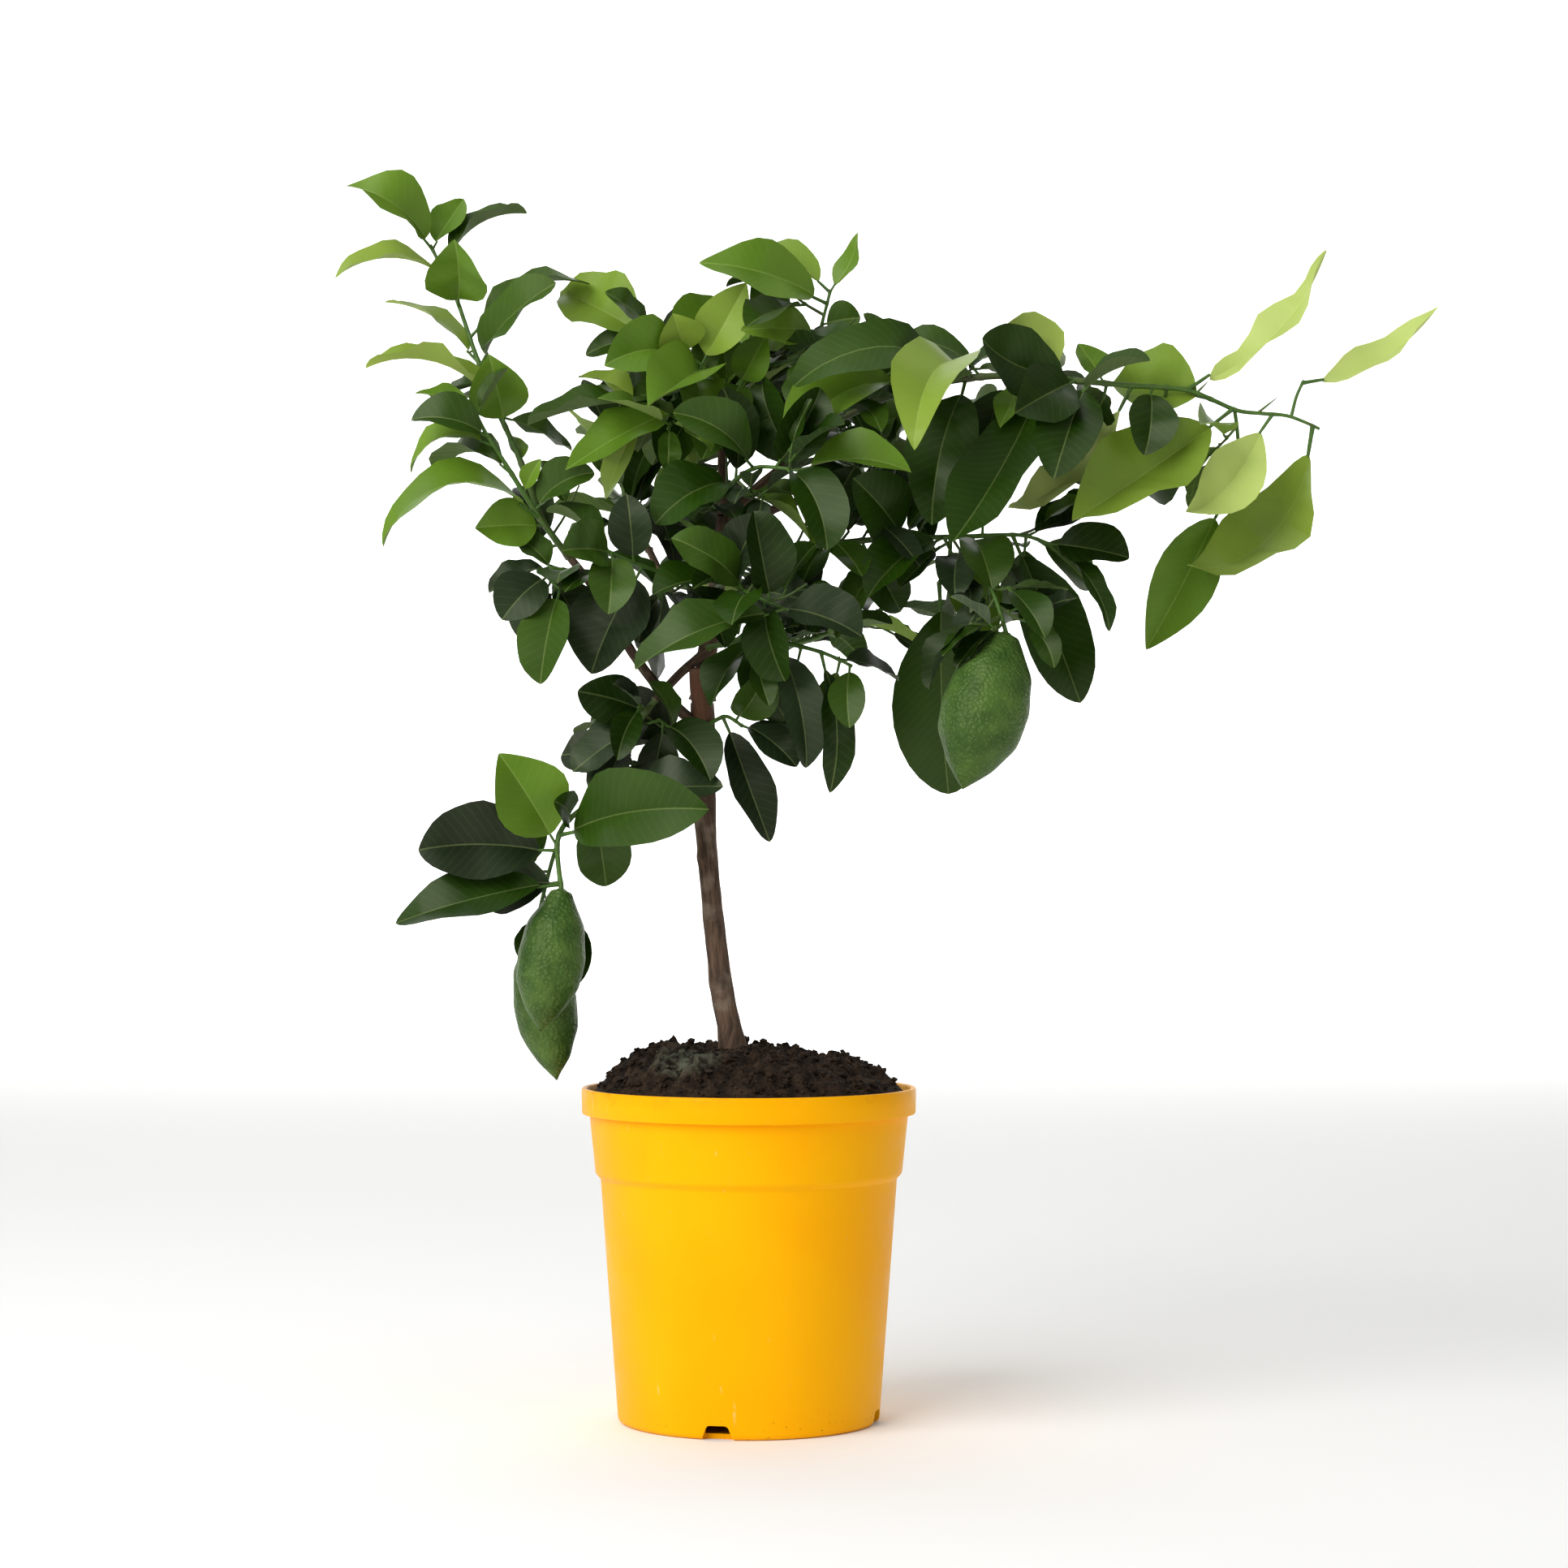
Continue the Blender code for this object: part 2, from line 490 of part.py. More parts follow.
def clear_start(path, radius, things):
    """The path, cut at its start until a flat end of that radius is clear of the things."""
    for step in range(START_TRIES):
        trimmed = cut_start(path, step * START_STEP) if step else path
        ahead = (trimmed[1] - trimmed[0]).normalized()
        back = trimmed[0] - ahead * GAP
        reach = radius + GAP
        plug = tube_shape([back, trimmed[0] + ahead * START_LENGTH], [reach, reach], LIMB_SIDES)
        probe = Thing("", plug)
        if not any(probe.touches(thing) or inside(back, thing) for thing in things):
            return trimmed
    return trimmed


def inside(point, thing):
    """Whether a point lies within a closed thing."""
    if any(point[i] < thing.low[i] or point[i] > thing.high[i] for i in range(3)):
        return False
    hit, normal, _, _ = thing.tree.find_nearest(point)
    return (point - hit).dot(normal) < 0


def settle(owner, root, ahead, normal, length, width, curl, things):
    """A leaf's shape, turned a little where it would touch another leaf or limb, or None."""
    front = Vector((0, -1, 0))
    hinge = ahead.cross(front).normalized()
    for turn, lean in itertools.product(TURNS, LEANS):
        bend = (Matrix.Rotation(math.radians(turn), 3, front)
                @ Matrix.Rotation(math.radians(lean), 3, hinge))
        turned = (bend @ ahead, bend @ normal)
        grown = leaf_shape(root, *turned, length, width, curl, GAP)
        whole = Thing(owner, grown)
        blade = Thing(owner, blade_only(grown))
        if not any((blade if thing.owner == owner else whole).touches(thing) for thing in things):
            things.append(whole)
            return leaf_shape(root, *turned, length, width, curl)
    return None


def spiral_leaves(path, count, chance):
    """Leaves that follow a shoot's spiral rule: root, heading, upper side, length, width, curl."""
    leaves = []
    for k in range(count):
        share = SPIRAL_FIRST + (1 - SPIRAL_FIRST) * k / (count - 1)
        root, ahead = along_path(path, share)
        side = Matrix.Rotation(math.radians(SPIRAL_ANGLE * k), 3, ahead) @ ahead.orthogonal()
        waver = chance.uniform(-SPIRAL_WAVER, SPIRAL_WAVER)
        spread = math.radians(SPIRAL_SPREAD - SPIRAL_CLOSING * share + waver)
        heading = (ahead * math.cos(spread) + side.normalized() * math.sin(spread)).normalized()
        heading = (heading + Vector((0, 0, -SPIRAL_DROOP))).normalized()
        sky = Vector((0, 0, 1)) + side.normalized() * SPIRAL_TILT
        normal = (sky - heading * sky.dot(heading)).normalized()
        length = chance.uniform(*SPIRAL_LENGTHS)
        width = length * chance.uniform(*SPIRAL_WIDTHS)
        leaves.append((root, heading, normal, length, width, chance.uniform(*SPIRAL_CURLS)))
    return leaves


def make_object(name, shape, material):
    """A closed mesh object in metres, its faces pointing out."""
    corners, faces = shape
    mesh = bpy.data.meshes.new(name)
    mesh.from_pydata([c * MM for c in corners], [], faces)
    work = bmesh.new()
    work.from_mesh(mesh)
    bmesh.ops.recalc_face_normals(work, faces=work.faces)
    work.to_mesh(mesh)
    work.free()
    mesh.materials.append(material)
    piece = bpy.data.objects.new(name, mesh)
    bpy.context.scene.collection.objects.link(piece)
    return piece


def make_material(name, color, roughness):
    material = bpy.data.materials.new(name)
    material.use_nodes = True
    shader = material.node_tree.nodes["Principled BSDF"]
    shader.inputs["Base Color"].default_value = (*color, 1.0)
    shader.inputs["Roughness"].default_value = roughness
    shader.inputs["Metallic"].default_value = 0.0
    return material


def join_by_union(name, shapes, material):
    """One closed body from a stem and all that grows on it."""
    body = make_object(name, shapes[0], material)
    group = bpy.data.collections.new(name + "_parts")
    bpy.context.scene.collection.children.link(group)
    parts = []
    for i, shape in enumerate(shapes[1:]):
        part = make_object(f"{name}_part_{i}", shape, material)
        bpy.context.scene.collection.objects.unlink(part)
        group.objects.link(part)
        parts.append(part)
    union = body.modifiers.new("union", "BOOLEAN")
    union.operation = "UNION"
    union.operand_type = "COLLECTION"
    union.collection = group
    union.solver = "EXACT"
    apply_modifiers(body)
    for part in parts:
        bpy.data.objects.remove(part)
    bpy.data.collections.remove(group)
    drop_scraps(body)
    return body


def apply_modifiers(body):
    graph = bpy.context.evaluated_depsgraph_get()
    mesh = bpy.data.meshes.new_from_object(body.evaluated_get(graph))
    body.modifiers.clear()
    body.data = mesh


def drop_scraps(body):
    """Keeps the largest connected shell of a mesh, with slivers dissolved."""
    work = bmesh.new()
    work.from_mesh(body.data)
    bmesh.ops.remove_doubles(work, verts=work.verts, dist=MERGE_DISTANCE)
    bmesh.ops.dissolve_degenerate(work, edges=work.edges, dist=SLIVER)
    shells = []
    left = set(work.faces)
    while left:
        shell, front = [], [left.pop()]
        while front:
            face = front.pop()
            shell.append(face)
            for edge in face.edges:
                for other in edge.link_faces:
                    if other in left:
                        left.remove(other)
                        front.append(other)
        shells.append(shell)
    shells.sort(key=len)
    for shell in shells[:-1]:
        bmesh.ops.delete(work, geom=shell, context="FACES")
    bmesh.ops.triangulate(work, faces=work.faces)
    work.to_mesh(body.data)
    work.free()


def pot_inside():
    """Radius and height of the pot's inner wall, from the edge of its floor up to the rim band."""
    foot = POT_FOOT_RADIUS - POT_WALL
    return [
        (foot - POT_FLOOR_ROUND, POT_FLOOR), (foot, POT_FLOOR + POT_FLOOR_ROUND),
        (POT_BODY_RADIUS - POT_WALL, POT_BAND_BOTTOM - POT_BAND_STEP),
        (POT_BAND_RADIUS - POT_WALL, POT_BAND_BOTTOM + POT_BAND_STEP),
        (POT_RIM_RADIUS - POT_RIM_STEP - POT_WALL, POT_HEIGHT - POT_RIM_DEPTH - POT_WALL),
    ]


def pot_profile():
    """Radius and height of the pot's section, from the middle of the underside round to the floor."""
    foot, rim, edge, lip = POT_FOOT_RADIUS, POT_RIM_RADIUS, POT_EDGE_ROUND, POT_LIP_ROUND
    rim_bottom = POT_HEIGHT - POT_RIM_DEPTH
    return [
        (0, 0), (foot - POT_FOOT_ROUND, 0), (foot - edge, edge), (foot, POT_FOOT_ROUND),
        (POT_BODY_RADIUS, POT_BAND_BOTTOM - POT_BAND_STEP),
        (POT_BAND_RADIUS - edge / 2, POT_BAND_BOTTOM + edge),
        (POT_BAND_RADIUS, POT_BAND_BOTTOM + POT_BAND_STEP),
        (rim - POT_RIM_STEP, rim_bottom), (rim - lip, rim_bottom),
        (rim - edge, rim_bottom + edge), (rim, POT_HEIGHT - lip), (rim - edge, POT_HEIGHT),
        (rim - POT_WALL - edge, POT_HEIGHT), (rim - POT_WALL - lip, POT_HEIGHT - lip),
        *reversed(pot_inside()), (0, POT_FLOOR),
    ]


def turned_shape(profile, segments):
    """Corners and faces of a closed body turned about +Z; the profile starts and ends on it."""
    corners = [Vector((0, 0, profile[0][1]))]
    for radius, height in profile[1:-1]:
        for k in range(segments):
            angle = 2 * math.pi * k / segments
            corners.append(Vector((radius * math.cos(angle), radius * math.sin(angle), height)))
    corners.append(Vector((0, 0, profile[-1][1])))
    rings = len(profile) - 2
    faces = []
    for k in range(segments):
        following = (k + 1) % segments
        faces.append((0, 1 + following, 1 + k))
        for ring in range(rings - 1):
            a, b = 1 + ring * segments + k, 1 + ring * segments + following
            faces.append((a, b, b + segments, a + segments))
        a, b = 1 + (rings - 1) * segments + k, 1 + (rings - 1) * segments + following
        faces.append((a, b, len(corners) - 1))
    return corners, faces


def notch_shape(angle):
    """A block with slanted sides, which cuts one notch in the edge of the underside."""
    out = Vector((math.cos(angle), math.sin(angle), 0))
    side = Vector((-out.y, out.x, 0))
    widening = (NOTCH_WIDTH - NOTCH_TOP_WIDTH) / NOTCH_HEIGHT * NOTCH_OVERCUT
    corners = []
    for radius in (POT_FOOT_RADIUS - NOTCH_DEPTH, POT_FOOT_RADIUS + NOTCH_OVERCUT):
        for width, height in ((NOTCH_WIDTH + widening, -NOTCH_OVERCUT), (NOTCH_TOP_WIDTH, NOTCH_HEIGHT)):
            for sign in (-1, 1):
                corners.append(out * radius + side * (sign * width / 2) + Vector((0, 0, height)))
    faces = [(0, 1, 3, 2), (4, 6, 7, 5), (0, 4, 5, 1), (2, 3, 7, 6), (0, 2, 6, 4), (1, 5, 7, 3)]
    return corners, faces


def build_pot():
    material = make_material("yellow_plastic", (1.0, 0.52, 0.01), 0.38)
    pot = make_object("pot", turned_shape(pot_profile(), POT_SEGMENTS), material)
    group = bpy.data.collections.new("notches")
    bpy.context.scene.collection.children.link(group)
    blocks = []
    for k in range(NOTCH_COUNT):
        angle = math.radians(NOTCH_ANGLE + 360 * k / NOTCH_COUNT)
        block = make_object(f"notch_{k}", notch_shape(angle), material)
        bpy.context.scene.collection.objects.unlink(block)
        group.objects.link(block)
        blocks.append(block)
    cut = pot.modifiers.new("notches", "BOOLEAN")
    cut.operation = "DIFFERENCE"
    cut.operand_type = "COLLECTION"
    cut.collection = group
    cut.solver = "EXACT"
    apply_modifiers(pot)
    for block in blocks:
        bpy.data.objects.remove(block)
    bpy.data.collections.remove(group)
    drop_scraps(pot)
    pot.data.shade_smooth()
    pot.data.set_sharp_from_angle(angle=math.radians(POT_CREASE))
    return pot


def soil_height(x, y, share):
    """Height of the heaped surface at a place; share runs from the trunk's seat to the edge."""
    heap = SOIL_EDGE_HEIGHT + (SOIL_TOP_HEIGHT - SOIL_EDGE_HEIGHT) * (1 - share ** SOIL_HEAP)
    broad = (math.sin(x * SOIL_WAVE[0] + SOIL_WAVE_START[0])
             * math.cos(y * SOIL_WAVE[1] + SOIL_WAVE_START[1]))
    fine = math.sin(x * SOIL_FINE_WAVE[0] + y * SOIL_FINE_WAVE[1])
    lump = broad + fine / 2
    swell = math.sin(math.pi * min(share * SOIL_SWELL_REACH, 1.0))
    return heap + (SOIL_LUMP * lump - SOIL_TILT * x) * swell


def soil_shape():
    """The filling: walls a little clear of the pot's inside, and a lumpy heaped top."""
    foot = spot(*TRUNK_PATH[0])
    inside_wall = pot_inside()
    corners = [Vector((0, 0, POT_FLOOR + GAP))]
    for radius, height in inside_wall:
        for k in range(SOIL_SEGMENTS):
            angle = 2 * math.pi * k / SOIL_SEGMENTS
            clear = radius - 2 * GAP
            corners.append(Vector((clear * math.cos(angle), clear * math.sin(angle), height + GAP)))
    edge = inside_wall[-1][0] - 2 * GAP
    for ring in range(SOIL_RINGS, -1, -1):
        share = ring / SOIL_RINGS
        for k in range(SOIL_SEGMENTS):
            angle = 2 * math.pi * k / SOIL_SEGMENTS
            way = Vector((math.cos(angle), math.sin(angle), 0))
            near = Vector((foot.x, 0, 0)) + way * SOIL_SEAT_RADIUS
            place = near.lerp(way * edge, share)
            height = soil_height(place.x, place.y, share) if ring else SOIL_SEAT_HEIGHT
            corners.append(Vector((place.x, place.y, height)))
    corners.append(Vector((foot.x, 0, SOIL_SEAT_HEIGHT)))
    faces = []
    rings = len(inside_wall) + SOIL_RINGS + 1
    for k in range(SOIL_SEGMENTS):
        following = (k + 1) % SOIL_SEGMENTS
        faces.append((0, 1 + following, 1 + k))
        for ring in range(rings - 1):
            a, b = 1 + ring * SOIL_SEGMENTS + k, 1 + ring * SOIL_SEGMENTS + following
            faces.append((a, b, b + SOIL_SEGMENTS))
            faces.append((a, b + SOIL_SEGMENTS, a + SOIL_SEGMENTS))
        a, b = 1 + (rings - 1) * SOIL_SEGMENTS + k, 1 + (rings - 1) * SOIL_SEGMENTS + following
        faces.append((a, b, len(corners) - 1))
    return corners, faces


def grow_limbs(things):
    """Shapes of the trunk and the boughs, each one cut clear of those before it."""
    shapes = {}
    path = smooth_path([spot(*p) for p in TRUNK_PATH], PATH_STEPS)
    radii = []
    for i in range(len(path)):
        k, part = divmod(i, PATH_STEPS)
        following = min(k + 1, len(TRUNK_RADII) - 1)
        radii.append(TRUNK_RADII[k] + (TRUNK_RADII[following] - TRUNK_RADII[k]) * part / PATH_STEPS)
    shapes["trunk"] = tube_shape(path, radii, LIMB_SIDES)
    for corner in shapes["trunk"][0][:LIMB_SIDES]:
        corner.z = SOIL_SEAT_HEIGHT + GAP
    things.append(Thing("trunk", shapes["trunk"]))
    for name, (places, start_radius, end_radius) in LIMBS.items():
        path = smooth_path([spot(*p) for p in places], PATH_STEPS)
        path = clear_start(path, start_radius, things)
        last = len(path) - 1
        radii = [start_radius + (end_radius - start_radius) * i / last for i in range(last + 1)]
        shapes[name] = tube_shape(path, radii, LIMB_SIDES)
        things.append(Thing(name, shapes[name]))
    return shapes


def grow_twigs(things):
    """Paths and shapes of every shoot, by mass; a side shoot starts inside its stem."""
    paths, shapes = {}, {}
    for name, shoots in {**SPRAYS, **BACK_SPRAYS}.items():
        paths[name], shapes[name] = [], []
        for places, start_radius, end_radius, _ in shoots:
            path = smooth_path([spot(*p) for p in places], PATH_STEPS)
            if shapes[name]:
                path[0] = nearest_on_path(paths[name][0], path[0])
            else:
                path = clear_start(path, start_radius, things)
            last = len(path) - 1
            radii = [start_radius + (end_radius - start_radius) * i / last for i in range(last + 1)]
            paths[name].append(path)
            shapes[name].append(tube_shape(path, radii, TWIG_SIDES))
        for shape in shapes[name]:
            things.append(Thing(name, shape))
    return paths, shapes


def grow_fruits(paths, shapes, things):
    for name, shoot, tip, radius in FRUITS:
        top = paths[name][shoot][-1]
        ahead = (top - paths[name][shoot][-2]).normalized()
        shape = fruit_shape(top - ahead * STALK_SINK, spot(*tip), radius)
        shapes[name].append(shape)
        things.append(Thing(name, shape))


def grow_leaves(paths, shapes, things):
    chance = random.Random(SEED)
    for name, shoots in SPRAYS.items():
        for path, (_, _, _, leaves) in zip(paths[name], shoots):
            for share, turn, toward, length, width, curl, face in leaves:
                root, _ = along_path(path, min(share, LAST_ROOT))
                ahead, normal = leaf_headings(turn, toward, face)
                shape = settle(name, root, ahead, normal, length, width, curl, things)
                if shape:
                    shapes[name].append(shape)
    for name, shoots in BACK_SPRAYS.items():
        for path, (_, _, _, count) in zip(paths[name], shoots):
            for root, ahead, normal, length, width, curl in spiral_leaves(path, count, chance):
                shape = settle(name, root, ahead, normal, length, width, curl, things)
                if shape:
                    shapes[name].append(shape)


def main():
    for piece in list(bpy.data.objects):
        bpy.data.objects.remove(piece)
    build_pot()
    soil = make_object("soil", soil_shape(), make_material("soil_brown", (0.035, 0.022, 0.014), 0.95))
    soil.data.shade_smooth()
    things = []
    bark = make_material("bark", (0.105, 0.065, 0.042), 0.85)
    for name, shape in grow_limbs(things).items():
        limb = make_object(name, shape, bark)
        limb.data.shade_smooth()
        limb.data.set_sharp_from_angle(angle=math.radians(LIMB_CREASE))
    paths, shapes = grow_twigs(things)
    grow_fruits(paths, shapes, things)
    grow_leaves(paths, shapes, things)
    green = make_material("leaf_green", (0.045, 0.13, 0.02), 0.45)
    for name, parts in shapes.items():
        join_by_union(name, parts, green)


main()
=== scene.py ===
# %% [markdown]
# # A young lemon tree in a yellow pot
# The solids of the tree come first: a trunk, its boughs, masses of foliage, the soil and the pot.
# They fix where everything is and how large it is, so every piece that is made below starts from
# the same sizes. Only the looks are new here: bark, living leaves, rind, crumbly soil and plastic.

# %% Load the solids
import itertools
import math
import random

import bpy
import numpy as np
from mathutils import Matrix, Vector, noise
from mathutils.bvhtree import BVHTree
from mathutils.geometry import intersect_point_line


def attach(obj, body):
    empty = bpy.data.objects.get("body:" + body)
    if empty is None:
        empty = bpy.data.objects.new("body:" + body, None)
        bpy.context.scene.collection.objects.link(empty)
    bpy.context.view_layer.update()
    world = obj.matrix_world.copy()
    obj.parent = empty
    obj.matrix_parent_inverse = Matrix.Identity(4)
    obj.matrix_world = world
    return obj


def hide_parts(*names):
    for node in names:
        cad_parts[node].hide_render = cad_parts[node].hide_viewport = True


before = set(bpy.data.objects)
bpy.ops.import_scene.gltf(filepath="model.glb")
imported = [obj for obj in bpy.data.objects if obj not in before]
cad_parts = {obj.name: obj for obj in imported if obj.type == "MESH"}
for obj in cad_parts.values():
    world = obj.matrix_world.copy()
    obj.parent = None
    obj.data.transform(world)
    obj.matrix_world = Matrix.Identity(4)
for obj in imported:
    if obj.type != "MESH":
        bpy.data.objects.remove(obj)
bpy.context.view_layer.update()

# %% [markdown]
# ## Sizes
# A plant is easiest to plan in millimetres, because twigs and leaves are a few of them thick.
# One number turns them into the metres of the scene at the moment a mesh is made. The pot is a
# common moulded one, 200 mm across its rim, and every other size was read against it.

# %% Sizes of the pot, the soil and the view
MM = 0.001
GAP = 0.3                 # clearance between two solids that touch
SEED = 7

# The pot: a turned shell with a rim band, a wider upper band and notches in its foot
POT_HEIGHT = 198.0
POT_RIM_RADIUS = 100.0
POT_RIM_DEPTH = 15.5
POT_RIM_STEP = 4.8        # how far the rim stands out over the band below it
POT_BAND_BOTTOM = 146.0
POT_BAND_RADIUS = 91.8
POT_BODY_RADIUS = 88.6
POT_FOOT_RADIUS = 78.2
POT_FOOT_ROUND = 3.6
POT_WALL = 2.0
POT_FLOOR = 3.0
NOTCH_COUNT = 4
NOTCH_WIDTH = 19.0        # across its foot
NOTCH_TOP_WIDTH = 12.5
NOTCH_HEIGHT = 8.5
NOTCH_DEPTH = 7.0
NOTCH_OVERCUT = 3.0       # how far the cutting block stands out of the pot, below and outside
NOTCH_ROUND = 2.0
NOTCH_ANGLE = 257.0       # of the notch that shows at the front, left of the middle

# The soil: heaped in the middle, just under the rim at its edge
SOIL_EDGE_HEIGHT = 195.0
SOIL_TOP_HEIGHT = 221.0
SOIL_SEAT_HEIGHT = 217.0  # flat patch round the foot of the trunk
SOIL_HEAP = 4             # the higher, the flatter the heap's middle and the steeper its edge
SOIL_TILT = 0.065         # how much higher the heap is on the left, per length across
SOIL_SWELL_REACH = 1.1    # how soon the lumps fade to nothing towards the edge
# How far away, and where, the eye is for the front view that the sizes are read from
VIEW_DISTANCE = 2037.0
EYE_X = 21.0
EYE_Z = 330.0

LEAF_THICKNESS = 1.3
LEAF_FOLD = 16.0          # degrees that each half of a leaf is raised from the midrib
PETIOLE_SHARE = 0.13      # of a leaf's length
PETIOLE_RADIUS = 0.9
FACET_ALLOWANCE = 1.16    # makes up for the area that a few-sided outline loses
LONG_LEAF = 60.0          # leaves longer than this get one more section
LONG_SECTIONS = {0.22: 0.86, 0.5: 1.0, 0.8: 0.56}  # share along the blade: share of its width
SHORT_SECTIONS = {0.27: 0.94, 0.7: 0.82}
LAST_ROOT = 0.985         # no leaf starts nearer to a shoot's end than this share of its length

# Degrees that a leaf may lean to the front or back, then turn, to keep clear of its neighbours
LEANS = (0, 6, -6, 12, -12, 20, -20, 30, -30)
TURNS = (0, 7, -7, 14, -14, 22, -22, 30, -30)
TWIG_SIDES = 3
LIMB_SIDES = 9
PATH_STEPS = 2            # points on a limb or shoot for each place of its plan
STALK_SINK = 2.0          # how far a fruit's end reaches back over its stalk

# A branch is cut back in steps until its start is clear of what bears it
START_STEP = 0.25
START_TRIES = 120
START_LENGTH = 2.0
START_KEPT = 1.0          # the first place of the plan that is kept lies farther on than this

# Leaves that follow the spiral rule
SPIRAL_ANGLE = 137.5      # degrees from one leaf to the next
SPIRAL_FIRST = 0.25       # share of the shoot below its first leaf
SPIRAL_SPREAD = 70.0      # degrees between shoot and leaf at the shoot's foot
SPIRAL_CLOSING = 35.0     # by how much that is less at its tip
SPIRAL_WAVER = 8.0
SPIRAL_DROOP = 0.15
SPIRAL_TILT = 0.3         # how far a leaf's upper side turns from the sky to its own side
SPIRAL_LENGTHS = (48, 68)
SPIRAL_WIDTHS = (0.42, 0.5)
SPIRAL_CURLS = (15, 32)

# %% [markdown]
# ## The plan of the tree
# A gardener would describe this tree limb by limb: where the trunk leans, where each bough leaves
# it, and how the leaves sit on each young shoot. The plan does the same. Places are given as they
# show from the front, with their depth, and one function sets them in space. The far side of the
# crown isn't planned leaf by leaf: its shoots carry leaves in the spiral that citrus trees follow.

# %% The plan: trunk, boughs and shoots with their leaves
def spot(x, y, z):
    """A place in the tree, with x and z as they show from the front and y its depth."""
    spread = (VIEW_DISTANCE + y) / VIEW_DISTANCE
    return Vector((EYE_X + (x - EYE_X) * spread, y, EYE_Z + (z - EYE_Z) * spread))


# Woody limbs: places along the middle, then the radius at each end
LIMBS = {
    "leader": ([(-28, 4, 430), (-26, 6, 452), (-22, 7, 480), (-18, 6, 512), (-15, 5, 540)], 6.4, 4.4),
    "bough_left": ([(-28, 2, 412), (-48, -4, 430), (-70, -8, 458), (-89, -12, 491), (-108, -15, 516)],
                   3.7, 2.3),
    "bough_left_low": ([(-25, 4, 459), (-40, -8, 447), (-56, -18, 430)], 3.1, 2.3),
    "bough_right_long": ([(-15, 5, 541), (18, -2, 568), (50, -8, 596)], 3.5, 2.7),
    "bough_right_low": ([(-17, 6, 512), (0, 3, 517), (18, 0, 519)], 3.1, 2.5),
    "bough_centre": ([(-15, 5, 541), (-16, 7, 572), (-15, 4, 604)], 3.1, 2.8),
    "bough_back_left": ([(-23, 8, 474), (-45, 42, 492), (-60, 84, 520)], 3.1, 2.2),
    "bough_back_right": ([(-17, 8, 528), (16, 48, 545), (52, 88, 556)], 3.1, 2.2),
    "bough_back_low": ([(-27, 8, 444), (-10, 42, 452), (20, 80, 462)], 2.9, 2.1),
}

TRUNK_PATH = [(-9, 0, SOIL_SEAT_HEIGHT + GAP), (-12, 0, 235), (-17, 1, 261), (-21.5, 2, 302),
              (-25, 3, 339), (-27, 4, 375), (-28, 4, 405), (-28, 4, 428)]
TRUNK_RADII = [9.2, 7.2, 6.9, 6.1, 6.1, 7.1, 8.0, 7.0]

